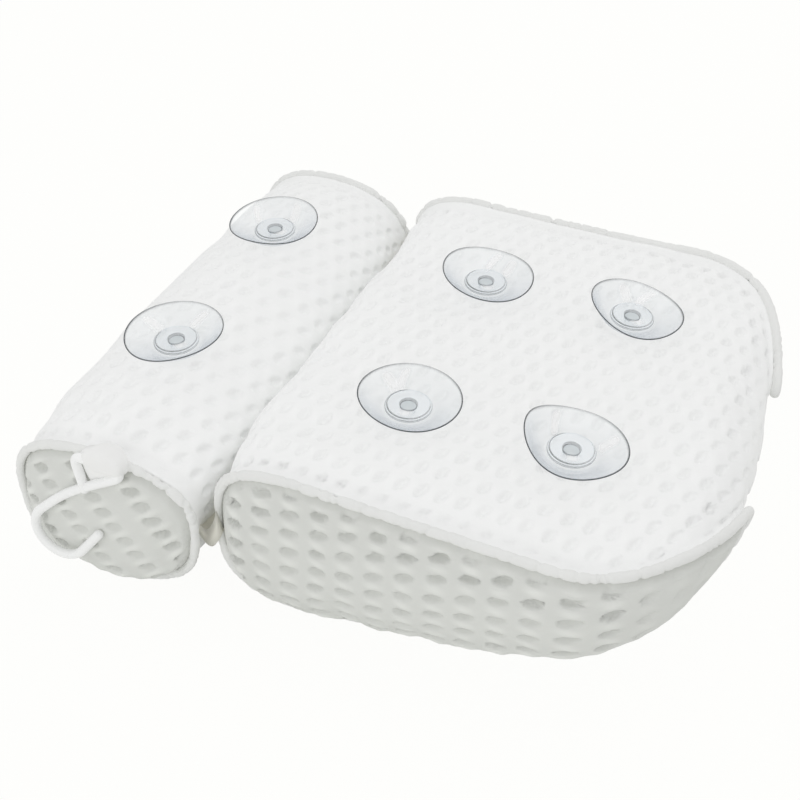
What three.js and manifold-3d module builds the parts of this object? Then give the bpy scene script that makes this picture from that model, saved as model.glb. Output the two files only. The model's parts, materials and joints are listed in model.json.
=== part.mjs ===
// Bath pillow: a neck roll joined by a fabric web to a wedge-shaped back pad, lying with its suction cups up.
// Millimetres. X runs from the neck roll to the thin end of the pad, Y across, Z up from the floor.
import * as THREE from 'three';
import { mergeVertices } from 'three/addons/utils/BufferGeometryUtils.js';
import Module from 'manifold-3d';

// Back pad: seam outline, seen from the side and from above
const PAD_NECK_REACH = 69;
const PAD_LENGTH = 229;
const PAD_HALF_WIDTH = 127;
const PAD_NECK_HALF_WIDTH = 121;
const PAD_TOP_Z = 93.5;
const PAD_BOTTOM_Z = 7;
const PAD_NECK_ROUND = 42;
const PAD_NOSE_Z = 75;
const PAD_NOSE_ROUND = 28;
const PAD_SWEEP_START = -30;
const PAD_SWEEP_RADIUS = 270;
const PAD_CORNER_LENGTH = 65;
const PAD_CORNER_TURN = THREE.MathUtils.degToRad(76);
const PAD_TIP_HALF_WIDTH = 44;
const PAD_TOP_CROWN = 0.5;
const PAD_UNDER_CROWN = 11;
const PAD_SIDE_CROWN = 1.5;
const PAD_PANEL_BULGE = 8;

// Neck roll: seam outline of its ends, and how far it swells between them
const FOLD_GAP = 4;
const ROLL_SECTION_WIDTH = 100;
const ROLL_TOP_Z = 87;
const ROLL_BOTTOM_Z = 8;
const ROLL_HALF_LENGTH = 134;
const ROLL_TOP_POWER = 2.3;
const ROLL_OUTER_POWER = 3.1;
const ROLL_INNER_POWER = 2.05;
const ROLL_TOP_CROWN = 9.5;
const ROLL_UNDER_CROWN = 12;
const ROLL_SIDE_CROWN = 3;
const ROLL_PANEL_BULGE = 7;

// Fabric, seams and the fit between pieces
const FIT = 0.3;
const COVER_WALL = 4;
const PANEL_WALL = 4;
const CORE_FIT = 0.8;
const CORE_END_EASE = 1.5;
const PIPING_RADIUS = 2.4;
const PIPING_PROUD = 0.5;
const WEB_WALL = 1.8;
const WEB_HALF_LENGTH = 108;

// Suction cups, their rivets and washers
const PAD_CUP_PITCH = 80.3;
const CUP_HALF_SPREAD = 54.6;
const CUP_MIDDLE_Y = -5;
const ROLL_CUP_SHIFT = 1;
const CUP_RADIUS = 25;
const CUP_HEIGHT = 10.6;
const CUP_FLOOR = 2.7;
const CUP_FOOT_RADIUS = 9;
const CUP_RIM_WIDTH = 1.1;
const SEAT_DEPTH = 0.5;
const SEAT_RELIEF = 0.3;
const SEAT_MARGIN = 3;
const DISC_RADIUS = 11.5;
const DISC_STEP = 0.9;
const DISC_HEIGHT = 2;
const RECESS_RADIUS = 4.25;
const RECESS_DEPTH = 1.4;
const SHANK_RADIUS = 3;
const RIVET_HEAD_RADIUS = 5.2;
const RIVET_HEAD_HEIGHT = 1.5;
const WASHER_RADIUS = 9.5;
const WASHER_HEIGHT = 1.5;

// Hook and the fabric tab that holds it
const TAB_SHIFT = 8;
const TAB_WIDTH = 13;
const TAB_WALL = 1.3;
const TAB_TAIL = 12;
const TAB_TAIL_BEND = 4;
const WIRE_RADIUS = 2.1;
const HOOK_BAR_RISE = 2;
const HOOK_CORNER_RADIUS = 2.4;
const HOOK_EYE_DEPTH = 30;
const HOOK_SHANK_LENGTH = 61.8;
const HOOK_SHANK_ANGLE = THREE.MathUtils.degToRad(40);
const HOOK_BEND_RADIUS = 14.4;
const HOOK_BEND_TURN = THREE.MathUtils.degToRad(197);
const HOOK_TIP_LENGTH = 17.5;
const HOOK_LEG_STEP = 0.1;

// Places that follow from the sizes
const PAD_NECK_X = -PAD_NECK_REACH;
const PAD_NOSE_X = PAD_NECK_X + PAD_LENGTH;
const ROLL_HALF_WIDTH = ROLL_SECTION_WIDTH / 2;
const ROLL_X = PAD_NECK_X - PAD_SIDE_CROWN - FOLD_GAP - ROLL_SIDE_CROWN - ROLL_HALF_WIDTH;
const ROLL_MID_Z = (ROLL_TOP_Z + ROLL_BOTTOM_Z) / 2;
const ROLL_HALF_HEIGHT = (ROLL_TOP_Z - ROLL_BOTTOM_Z) / 2;
const PIPING_OUT = FIT + PIPING_RADIUS;
const PANEL_INSET = PIPING_RADIUS - PIPING_PROUD + FIT;

// How finely the soft forms are divided
const ACROSS = [-1, -0.94, -0.8, -0.45, 0, 0.45, 0.8, 0.94, 1];
const PANEL_ROWS = 5;
const PIPING_SIDES = 6;
const CUP_SEGMENTS = 20;
const BORE_SEGMENTS = 16;

const { Manifold, Mesh: SolidMesh } = await Module().then((wasm) => {
  wasm.setup();
  return wasm;
});

// Materials
const meshFabric = new THREE.MeshStandardMaterial({ color: 0xf1f2f0, roughness: 0.92, metalness: 0 });
const pipingFabric = new THREE.MeshStandardMaterial({ color: 0xf4f4f2, roughness: 0.85, metalness: 0 });
const webFabric = new THREE.MeshStandardMaterial({ color: 0xe9e6da, roughness: 0.95, metalness: 0 });
const foam = new THREE.MeshStandardMaterial({ color: 0xf3efe2, roughness: 1, metalness: 0 });
const clearSoft = new THREE.MeshStandardMaterial({
  color: 0xe3ebee, roughness: 0.15, metalness: 0, transparent: true, opacity: 0.45,
});
const clearHard = new THREE.MeshStandardMaterial({
  color: 0xd5dde0, roughness: 0.12, metalness: 0, transparent: true, opacity: 0.6,
});
const whitePlastic = new THREE.MeshStandardMaterial({ color: 0xf5f6f6, roughness: 0.3, metalness: 0 });

// A list of corners and triangles that grows into one closed surface
class Surface {
  constructor() {
    this.points = [];
    this.faces = [];
  }

  point(x, y, z) {
    this.points.push(x, y, z);
    return this.points.length / 3 - 1;
  }

  tri(a, b, c) {
    this.faces.push(a, b, c);
  }

  quad(a, b, c, d) {
    this.tri(a, b, c);
    this.tri(a, c, d);
  }

  geometry() {
    const p = this.points;
    let volume = 0;
    for (let i = 0; i < this.faces.length; i += 3) {
      const [a, b, c] = [0, 1, 2].map((k) => new THREE.Vector3().fromArray(p, 3 * this.faces[i + k]));
      volume += a.dot(b.cross(c));
    }
    const faces = volume < 0 ? [...this.faces].reverse() : this.faces;
    const made = new THREE.BufferGeometry();
    made.setAttribute('position', new THREE.Float32BufferAttribute(p, 3));
    made.setIndex(faces);
    return made;
  }
}

// Solids for joins and cuts
function toSolid(geometry) {
  const bare = geometry.clone();
  bare.deleteAttribute('normal');
  bare.deleteAttribute('uv');
  const merged = mergeVertices(bare, 1e-4);
  const mesh = new SolidMesh({
    numProp: 3,
    vertProperties: new Float32Array(merged.attributes.position.array),
    triVerts: new Uint32Array(merged.index.array),
  });
  mesh.merge();
  return new Manifold(mesh);
}

function fromSolid(solid) {
  const mesh = solid.getMesh();
  const made = new THREE.BufferGeometry();
  made.setAttribute('position', new THREE.Float32BufferAttribute(mesh.vertProperties, 3));
  made.setIndex([...mesh.triVerts]);
  return made;
}

// A turned piece from a closed profile of radius and height, about Z
function turned(profile, segments = BORE_SEGMENTS) {
  const surface = new Surface();
  const rings = profile.map(([r, z]) => {
    if (r === 0) return [surface.point(0, 0, z)];
    return Array.from({ length: segments }, (_, s) => {
      const angle = (2 * Math.PI * s) / segments;
      return surface.point(r * Math.cos(angle), r * Math.sin(angle), z);
    });
  });
  rings.forEach((ring, i) => {
    const next = rings[(i + 1) % rings.length];
    if (ring.length === 1 && next.length === 1) return;
    for (let s = 0; s < segments; s += 1) {
      const t = (s + 1) % segments;
      if (ring.length === 1) surface.tri(ring[0], next[s], next[t]);
      else if (next.length === 1) surface.tri(ring[s], next[0], ring[t]);
      else surface.quad(ring[s], next[s], next[t], ring[t]);
    }
  });
  return surface.geometry();
}

// Back pad outline: top and underside lines seen from the side, half width seen from above
const PAD_CORNER_X = PAD_NOSE_X - PAD_CORNER_LENGTH;
const PAD_CORNER_DEPTH = (PAD_HALF_WIDTH - PAD_TIP_HALF_WIDTH) / (1 - Math.cos(PAD_CORNER_TURN));
const PAD_TIP_SLOPE = (PAD_CORNER_DEPTH * Math.sin(PAD_CORNER_TURN) * Math.tan(PAD_CORNER_TURN)) / PAD_CORNER_LENGTH;
const PAD_NECK_Z = (PAD_TOP_Z + PAD_BOTTOM_Z) / 2;

function padHalfWidth(x) {
  if (x < PAD_CORNER_X) {
    const share = (PAD_CORNER_X - x) / (PAD_CORNER_X - PAD_NECK_X);
    return PAD_HALF_WIDTH - (PAD_HALF_WIDTH - PAD_NECK_HALF_WIDTH) * share;
  }
  const along = Math.min(1, (x - PAD_CORNER_X) / PAD_CORNER_LENGTH) * Math.sin(PAD_CORNER_TURN);
  const beyond = Math.max(0, x - PAD_NOSE_X) * PAD_TIP_SLOPE;
  return PAD_HALF_WIDTH - PAD_CORNER_DEPTH * (1 - Math.sqrt(1 - along * along)) - beyond;
}

function padFullness(x) {
  const neck = 1 - Math.min(1, Math.max(0, (x - PAD_NECK_X) / PAD_NECK_ROUND));
  const nose = 1 - Math.min(1, Math.max(0, (PAD_NOSE_X - x) / PAD_NOSE_ROUND));
  return Math.sqrt((1 - neck * neck) * (1 - nose * nose));
}

function padMiddle(x) {
  const share = Math.min(1, Math.max(0, (x - PAD_NECK_X) / PAD_LENGTH));
  return THREE.MathUtils.lerp(PAD_NECK_Z, PAD_NOSE_Z, share);
}

function padTop(x) {
  return THREE.MathUtils.lerp(padMiddle(x), PAD_TOP_Z, padFullness(x));
}

function padBottom(x) {
  const swept = Math.max(0, x - PAD_SWEEP_START);
  const line = PAD_BOTTOM_Z + (swept * swept) / (2 * PAD_SWEEP_RADIUS);
  return THREE.MathUtils.lerp(padMiddle(x), line, padFullness(x));
}

function padStations() {
  const places = [];
  const neckSteps = 6;
  const straightSteps = 7;
  const turns = [0.16, 0.32, 0.47, 0.6, 0.72, 0.82, 0.91, 1];
  const straightStart = PAD_NECK_X + PAD_NECK_ROUND;
  for (let i = 0; i < neckSteps; i += 1) {
    places.push(PAD_NECK_X + PAD_NECK_ROUND * (1 - Math.cos((i / neckSteps) * (Math.PI / 2))));
  }
  for (let i = 0; i <= straightSteps; i += 1) {
    places.push(THREE.MathUtils.lerp(straightStart, PAD_CORNER_X, i / straightSteps));
  }
  for (const turn of turns) {
    const share = Math.sin(turn * PAD_CORNER_TURN) / Math.sin(PAD_CORNER_TURN);
    places.push(PAD_CORNER_X + PAD_CORNER_LENGTH * share);
  }
  return places;
}

// Neck roll outline: a full oval that sags away from the pad below, the same all along the seam
function rollHalfSection(x, power) {
  const share = Math.min(1, Math.abs((x - ROLL_X) / ROLL_HALF_WIDTH));
  return ROLL_HALF_HEIGHT * (1 - share ** power) ** (1 / power);
}

function rollTop(x) {
  return ROLL_MID_Z + rollHalfSection(x, ROLL_TOP_POWER);
}

function rollBottom(x) {
  return ROLL_MID_Z - rollHalfSection(x, x < ROLL_X ? ROLL_OUTER_POWER : ROLL_INNER_POWER);
}

function rollStations() {
  const steps = 16;
  return Array.from({ length: steps + 1 }, (_, i) => ROLL_X - ROLL_HALF_WIDTH * Math.cos((Math.PI * i) / steps));
}

// What the pad and the roll have in common as sewn cushions
const PAD = {
  stations: padStations(),
  top: padTop,
  bottom: padBottom,
  halfWidth: padHalfWidth,
  crown: { top: PAD_TOP_CROWN, under: PAD_UNDER_CROWN, side: PAD_SIDE_CROWN },
  bulge: PAD_PANEL_BULGE,
};
const ROLL = {
  stations: rollStations(),
  top: rollTop,
  bottom: rollBottom,
  halfWidth: () => ROLL_HALF_LENGTH,
  crown: { top: ROLL_TOP_CROWN, under: ROLL_UNDER_CROWN, side: ROLL_SIDE_CROWN },
  bulge: ROLL_PANEL_BULGE,
};

// Slope of the outline seen from above, as outward direction
function outward(cushion, x) {
  const step = 0.01;
  const slope = (cushion.halfWidth(x) - cushion.halfWidth(x - step)) / step;
  const size = Math.hypot(slope, 1);
  return { x: -slope / size, y: 1 / size, stretch: size };
}

// Outward directions of a closed loop of side and height
function loopNormals(loop, stretch = () => 1) {
  const edge = (from, to, scale) => {
    const along = (to.a - from.a) * scale;
    const rise = to.z - from.z;
    const size = Math.hypot(along, rise) || 1;
    return { a: -rise / size, z: along / size };
  };
  return loop.map((p, k) => {
    const scale = stretch(p.a);
    const one = edge(loop[(k + loop.length - 1) % loop.length], p, scale);
    const two = edge(p, loop[(k + 1) % loop.length], scale);
    const size = Math.hypot(one.a + two.a, one.z + two.z) || 1;
    const normal = { a: (one.a + two.a) / size, z: (one.z + two.z) / size };
    const reach = 1 / Math.max(0.4, normal.a * one.a + normal.z * one.z);
    return { a: normal.a, z: normal.z, reach, scale };
  });
}

function moved(loop, distance, stretch) {
  const normals = loopNormals(loop, stretch);
  return loop.map((p, k) => {
    const n = normals[k];
    return { a: p.a + (distance * n.reach * n.a) / n.scale, z: p.z + distance * n.reach * n.z };
  });
}

// Seam loop: neck point, along the top, nose point, back along the underside
function seamLoop(cushion) {
  const { stations } = cushion;
  const last = stations.length - 1;
  const upper = stations.map((x) => ({ a: x, z: cushion.top(x) }));
  const lower = stations.slice(1, last).reverse().map((x) => ({ a: x, z: cushion.bottom(x) }));
  return [...upper, ...lower];
}

// Seam loop moved in the surface of the wrapped side, where the corners of the pad make X run slower
function wrappedLoop(cushion, distance) {
  return moved(seamLoop(cushion), distance, (x) => outward(cushion, x).stretch);
}

// Height of a place between the seams: 1 at the top seam, -1 at the bottom seam
function levelAt(cushion, x, z) {
  const top = cushion.top(x);
  const bottom = cushion.bottom(x);
  const half = Math.max(1e-6, (top - bottom) / 2);
  return THREE.MathUtils.clamp((z - (top + bottom) / 2) / half, -1, 1);
}

// How far a side panel swells outwards at a place
function bulgeAt(cushion, x, z) {
  const { stations } = cushion;
  const first = stations[0];
  const last = stations[stations.length - 1];
  const end = Math.min(1, Math.abs((2 * (x - first)) / (last - first) - 1));
  return cushion.bulge * (1 - levelAt(cushion, x, z) ** 2) * (1 - end ** 4);
}

// A place on the side of a cushion, some distance out from the seam surface
function sidePlace(cushion, x, z, out, side) {
  const way = outward(cushion, x);
  return [x + out * way.x, side * (cushion.halfWidth(x) + out * way.y), z];
}

// Rows of the sleeve across the cushion: crowned between the seams and flat where it rests on the floor
function sleeveRows(cushion, inset) {
  const seam = seamLoop(cushion);
  const normals = loopNormals(seam);
  const seamInset = moved(seam, -inset);
  const { crown } = cushion;
  return ACROSS.map((v) => {
    const fullness = 1 - Math.abs(v) ** 3;
    const row = seam.map((p, k) => {
      const n = normals[k];
      const swell = crown.side * n.a * n.a + (n.z > 0 ? crown.top : crown.under) * n.z * n.z;
      return { a: p.a + fullness * swell * n.a, z: Math.max(0, p.z + fullness * swell * n.z) };
    });
    return moved(row, -inset).map((p, k) => [p.a, v * cushion.halfWidth(seamInset[k].a), p.z]);
  });
}

// Height of the sleeve's top above the floor at a place
function sleeveTop(cushion, x, y) {
  const v = y / cushion.halfWidth(x);
  return cushion.top(x) + cushion.crown.top * (1 - Math.abs(v) ** 3);
}

// Lays a row of rings between neighbouring rows of points
function tubeFaces(surface, rows, flip) {
  for (let j = 0; j + 1 < rows.length; j += 1) {
    for (let k = 0; k < rows[j].length; k += 1) {
      const m = (k + 1) % rows[j].length;
      if (flip) surface.quad(rows[j][k], rows[j + 1][k], rows[j + 1][m], rows[j][m]);
      else surface.quad(rows[j][k], rows[j][m], rows[j + 1][m], rows[j + 1][k]);
    }
  }
}

// Lays faces over columns that run from the top of a panel to its bottom and close to a point at both ends
function panelFaces(surface, columns, flip) {
  const tri = (a, b, c) => (flip ? surface.tri(a, c, b) : surface.tri(a, b, c));
  for (let k = 0; k + 1 < columns.length; k += 1) {
    const near = columns[k];
    const far = columns[k + 1];
    const rows = Math.max(near.length, far.length) - 1;
    for (let j = 0; j < rows; j += 1) {
      if (near.length === 1) tri(near[0], far[j], far[j + 1]);
      else if (far.length === 1) tri(near[j], far[0], near[j + 1]);
      else {
        tri(near[j], far[j], far[j + 1]);
        tri(near[j], far[j + 1], near[j + 1]);
      }
    }
  }
}

// Columns of places over a panel, inside a loop
function panelColumns(loop) {
  const half = loop.length / 2;
  return Array.from({ length: half + 1 }, (_, k) => {
    const top = loop[k];
    if (k === 0 || k === half) return [top];
    const bottom = loop[loop.length - k];
    return Array.from({ length: PANEL_ROWS + 1 }, (__, j) => ({
      a: THREE.MathUtils.lerp(top.a, bottom.a, j / PANEL_ROWS),
      z: THREE.MathUtils.lerp(top.z, bottom.z, j / PANEL_ROWS),
    }));
  });
}

// Mesh sleeve of a cushion, open at both sides
function coverGeometry(cushion) {
  const surface = new Surface();
  const lay = (rows) => rows.map((row) => row.map((p) => surface.point(...p)));
  const outer = lay(sleeveRows(cushion, 0));
  const inner = lay(sleeveRows(cushion, COVER_WALL));
  tubeFaces(surface, outer, false);
  tubeFaces(surface, inner, true);
  tubeFaces(surface, [inner[0], outer[0]], false);
  tubeFaces(surface, [outer[outer.length - 1], inner[inner.length - 1]], false);
  return surface.geometry();
}

// Foam core of a cushion, swelling into the side panels
function coreGeometry(cushion) {
  const surface = new Surface();
  const inset = COVER_WALL + CORE_FIT;
  const rows = sleeveRows(cushion, inset);
  const seam = moved(seamLoop(cushion), -inset - CORE_END_EASE);
  const place = (p, side) => sidePlace(cushion, p.a, p.z, bulgeAt(cushion, p.a, p.z) - CORE_FIT / 2, side);
  const ends = [-1, 1].map((side) => seam.map((p) => surface.point(...place(p, side))));
  const middle = rows.slice(1, -1).map((row) => row.map((p) => surface.point(...p)));
  tubeFaces(surface, [ends[0], ...middle, ends[1]], false);
  [-1, 1].forEach((side, e) => {
    const columns = panelColumns(seam).map((column, k) => {
      if (column.length === 1) return [ends[e][k]];
      const inside = column.slice(1, -1).map((p) => surface.point(...place(p, side)));
      return [ends[e][k], ...inside, ends[e][seam.length - k]];
    });
    panelFaces(surface, columns, side < 0);
  });
  return surface.geometry();
}

// Domed panel that closes one side of a cushion
function panelGeometry(cushion, side) {
  const surface = new Surface();
  const loop = wrappedLoop(cushion, -PANEL_INSET);
  const columns = panelColumns(loop);
  const lay = (wall) => columns.map((column) => column.map((p) => {
    const out = bulgeAt(cushion, p.a, p.z) + FIT + wall;
    return surface.point(...sidePlace(cushion, p.a, p.z, out, side));
  }));
  const outer = lay(PANEL_WALL);
  const inner = lay(0);
  panelFaces(surface, outer, false);
  panelFaces(surface, inner, true);
  const edge = (sheet) => [
    ...sheet.map((column) => column[0]),
    ...sheet.slice(1, -1).reverse().map((column) => column[column.length - 1]),
  ];
  tubeFaces(surface, [edge(outer), edge(inner)], true);
  return surface.geometry();
}

// Piping round the seam of one side
function pipingGeometry(cushion, side) {
  const surface = new Surface();
  const rings = Array.from({ length: PIPING_SIDES }, (_, s) => {
    const angle = (2 * Math.PI * (s + 0.5)) / PIPING_SIDES;
    const out = PIPING_OUT + PIPING_RADIUS * Math.cos(angle);
    const loop = wrappedLoop(cushion, PIPING_PROUD + PIPING_RADIUS * Math.sin(angle));
    return loop.map((p) => surface.point(...sidePlace(cushion, p.a, p.z, out, side)));
  });
  tubeFaces(surface, [...rings, rings[0]], false);
  return surface.geometry();
}

// Cups stand on flat seats; each spot is a place on the sleeve's top
const CUP_SPOTS = [
  [PAD, 0, CUP_MIDDLE_Y - CUP_HALF_SPREAD],
  [PAD, PAD_CUP_PITCH, CUP_MIDDLE_Y - CUP_HALF_SPREAD],
  [PAD, 0, CUP_MIDDLE_Y + CUP_HALF_SPREAD],
  [PAD, PAD_CUP_PITCH, CUP_MIDDLE_Y + CUP_HALF_SPREAD],
  [ROLL, ROLL_X + ROLL_CUP_SHIFT, CUP_MIDDLE_Y - CUP_HALF_SPREAD],
  [ROLL, ROLL_X + ROLL_CUP_SHIFT, CUP_MIDDLE_Y + CUP_HALF_SPREAD],
].map(([cushion, x, y]) => ({ cushion, place: new THREE.Vector3(x, y, sleeveTop(cushion, x, y) - SEAT_DEPTH) }));

const SEAT_WALL = COVER_WALL - SEAT_DEPTH - SEAT_RELIEF;
const BORE_RADIUS = SHANK_RADIUS + FIT;
const CUP_DECK = FIT + CUP_FLOOR;
const DISC_FOOT = CUP_DECK + FIT;
const WASHER_TOP = -SEAT_WALL - FIT;
const HEAD_TOP = WASHER_TOP - WASHER_HEIGHT - FIT;

function cutAtCups(geometry, cushion, profile) {
  const cutter = toSolid(turned(profile));
  let solid = toSolid(geometry);
  for (const spot of CUP_SPOTS) {
    if (spot.cushion === cushion) solid = solid.subtract(cutter.translate(spot.place.toArray()));
  }
  return fromSolid(solid);
}

function coverWithSeats(cushion) {
  const clear = 3 * COVER_WALL;
  return cutAtCups(coverGeometry(cushion), cushion, [
    [0, clear],
    [CUP_FOOT_RADIUS + SEAT_MARGIN, clear],
    [CUP_FOOT_RADIUS + SEAT_MARGIN, 0],
    [BORE_RADIUS, 0],
    [BORE_RADIUS, -SEAT_WALL],
    [WASHER_RADIUS + 2 * FIT, -SEAT_WALL],
    [WASHER_RADIUS + 2 * FIT, -clear],
    [0, -clear],
  ]);
}

function coreWithPockets(cushion) {
  const floor = HEAD_TOP - RIVET_HEAD_HEIGHT - FIT;
  const pocket = WASHER_RADIUS + FIT;
  return cutAtCups(coreGeometry(cushion), cushion, [[0, 0], [pocket, 0], [pocket, floor], [0, floor]]);
}

// Suction cup: a thin bowl with a thick floor and a flat rim
function cupGeometry() {
  const deck = DISC_RADIUS + 2 * FIT;
  const flare = (CUP_RADIUS - deck) / 2;
  const wallRise = CUP_HEIGHT - CUP_DECK;
  return turned([
    [BORE_RADIUS, FIT],
    [CUP_FOOT_RADIUS, FIT],
    [deck + 1, FIT + 1],
    [deck + flare, FIT + 0.48 * CUP_HEIGHT],
    [CUP_RADIUS, CUP_HEIGHT - 0.5],
    [CUP_RADIUS, CUP_HEIGHT],
    [CUP_RADIUS - CUP_RIM_WIDTH, CUP_HEIGHT],
    [deck + flare - 1, CUP_DECK + 0.42 * wallRise],
    [deck, CUP_DECK],
    [BORE_RADIUS, CUP_DECK],
  ], CUP_SEGMENTS);
}

// Rivet: stepped disc with a recess, a shank through cup and cover, and a spread head under the washer
function rivetGeometry() {
  const top = DISC_FOOT + DISC_HEIGHT;
  return turned([
    [0, HEAD_TOP - RIVET_HEAD_HEIGHT],
    [RIVET_HEAD_RADIUS, HEAD_TOP - RIVET_HEAD_HEIGHT],
    [RIVET_HEAD_RADIUS, HEAD_TOP],
    [SHANK_RADIUS, HEAD_TOP],
    [SHANK_RADIUS, DISC_FOOT],
    [DISC_RADIUS, DISC_FOOT],
    [DISC_RADIUS, top - DISC_STEP],
    [DISC_RADIUS - DISC_STEP, top - DISC_STEP],
    [DISC_RADIUS - DISC_STEP, top],
    [RECESS_RADIUS, top],
    [RECESS_RADIUS, top - RECESS_DEPTH],
    [0, top - RECESS_DEPTH],
  ]);
}

function washerGeometry() {
  return turned([
    [BORE_RADIUS, WASHER_TOP - WASHER_HEIGHT],
    [WASHER_RADIUS, WASHER_TOP - WASHER_HEIGHT],
    [WASHER_RADIUS, WASHER_TOP],
    [BORE_RADIUS, WASHER_TOP],
  ]);
}

// Fabric web between the facing sides of pad and roll, at mid height
function webGeometry() {
  const steps = 6;
  const side = (cushion, edge, way) => Array.from({ length: 2 * steps + 1 }, (_, i) => {
    const y = WEB_HALF_LENGTH * (i / steps - 1);
    const fullness = 1 - Math.abs(y / cushion.halfWidth(edge)) ** 3;
    return new THREE.Vector2(edge + way * (fullness * cushion.crown.side + FIT), y);
  });
  const padSide = side(PAD, PAD_NECK_X, -1);
  const rollSide = side(ROLL, ROLL_X + ROLL_HALF_WIDTH, 1);
  const outline = new THREE.Shape([...padSide, ...rollSide.reverse()]);
  const made = new THREE.ExtrudeGeometry(outline, { depth: WEB_WALL, bevelEnabled: false, steps: 1 });
  made.translate(0, 0, (PAD_NECK_Z + ROLL_MID_Z - WEB_WALL) / 2);
  return made;
}

// Fabric tab: a loop round the hook's bar, with a tail over the piping and onto the sleeve
const TAB_LOOP_RADIUS = WIRE_RADIUS + FIT + TAB_WALL;
const BAR_OUT = PIPING_OUT + PIPING_RADIUS + FIT + TAB_LOOP_RADIUS;

function tabGeometry() {
  const tailFoot = PIPING_PROUD + PIPING_RADIUS + FIT;
  const tailTop = tailFoot + TAB_WALL;
  const swell = (inside) => {
    const v = (ROLL_HALF_LENGTH - inside) / ROLL_HALF_LENGTH;
    return ROLL_TOP_CROWN * (1 - v ** 3) + FIT;
  };
  const lower = Math.PI - Math.asin((tailFoot - HOOK_BAR_RISE) / TAB_LOOP_RADIUS);
  const upper = 3 * Math.PI - Math.asin((tailTop - HOOK_BAR_RISE) / TAB_LOOP_RADIUS);
  const shape = new THREE.Shape();
  shape.absarc(BAR_OUT, HOOK_BAR_RISE, TAB_LOOP_RADIUS, lower, upper, false);
  shape.lineTo(0, tailTop);
  shape.lineTo(-TAB_TAIL_BEND, swell(TAB_TAIL) + TAB_WALL);
  shape.lineTo(-TAB_TAIL, swell(TAB_TAIL) + TAB_WALL);
  shape.lineTo(-TAB_TAIL, swell(TAB_TAIL));
  shape.lineTo(-TAB_TAIL_BEND, swell(TAB_TAIL_BEND));
  shape.lineTo(0, tailFoot);
  const hole = new THREE.Path();
  hole.absarc(BAR_OUT, HOOK_BAR_RISE, WIRE_RADIUS + FIT, 0, 2 * Math.PI, true);
  shape.holes.push(hole);
  const made = new THREE.ExtrudeGeometry(shape, { depth: TAB_WIDTH, bevelEnabled: false, curveSegments: 10 });
  made.translate(0, 0, -TAB_WIDTH / 2);
  const turn = new THREE.Matrix4().makeBasis(
    new THREE.Vector3(0, -1, 0),
    new THREE.Vector3(0, 0, 1),
    new THREE.Vector3(-1, 0, 0),
  );
  return made.applyMatrix4(turn);
}

// Round wire along a flat path in X and Z, closed at both ends
function wireGeometry(path, radius, sides = 8) {
  const surface = new Surface();
  const rings = path.map((p, i) => {
    const before = path[Math.max(0, i - 1)];
    const after = path[Math.min(path.length - 1, i + 1)];
    const way = after.clone().sub(before).normalize();
    return Array.from({ length: sides }, (_, s) => {
      const angle = (2 * Math.PI * s) / sides;
      const flat = radius * Math.cos(angle);
      return surface.point(p.x - flat * way.y, radius * Math.sin(angle), p.y + flat * way.x);
    });
  });
  tubeFaces(surface, rings, false);
  const cap = (ring, p, flip) => {
    const centre = surface.point(p.x, 0, p.y);
    ring.forEach((a, s) => {
      const b = ring[(s + 1) % ring.length];
      if (flip) surface.tri(centre, b, a);
      else surface.tri(centre, a, b);
    });
  };
  cap(rings[0], path[0], true);
  cap(rings[rings.length - 1], path[path.length - 1], false);
  return surface.geometry();
}

// Hook: tip, bend and shank, then the bar of the eye and its short leg back to the shank
const SHANK_REACH = (TAB_LOOP_RADIUS + FIT) / Math.tan(HOOK_SHANK_ANGLE) + WIRE_RADIUS / Math.sin(HOOK_SHANK_ANGLE);
const BAR_HALF = TAB_WIDTH / 2 + SHANK_REACH;
const SHANK_WAY = new THREE.Vector2(-Math.cos(HOOK_SHANK_ANGLE), -Math.sin(HOOK_SHANK_ANGLE));
const BEND_START = HOOK_SHANK_ANGLE + Math.PI / 2;
const BEND_CENTRE = new THREE.Vector2(BAR_HALF, 0)
  .addScaledVector(SHANK_WAY, HOOK_SHANK_LENGTH)
  .add(new THREE.Vector2(-Math.cos(BEND_START), -Math.sin(BEND_START)).multiplyScalar(HOOK_BEND_RADIUS));

// Rounds the corner of a wire's path between the way in and the way out
function roundCorner(path, corner, wayIn, wayOut) {
  const turn = Math.acos(wayIn.dot(wayOut));
  const start = corner.clone().addScaledVector(wayIn, -HOOK_CORNER_RADIUS * Math.tan(turn / 2));
  const centre = new THREE.Vector2(-wayIn.y, wayIn.x).multiplyScalar(HOOK_CORNER_RADIUS).add(start);
  const first = Math.atan2(start.y - centre.y, start.x - centre.x);
  path.lineTo(start.x, start.y);
  path.absarc(centre.x, centre.y, HOOK_CORNER_RADIUS, first, first + turn, false);
}

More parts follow.
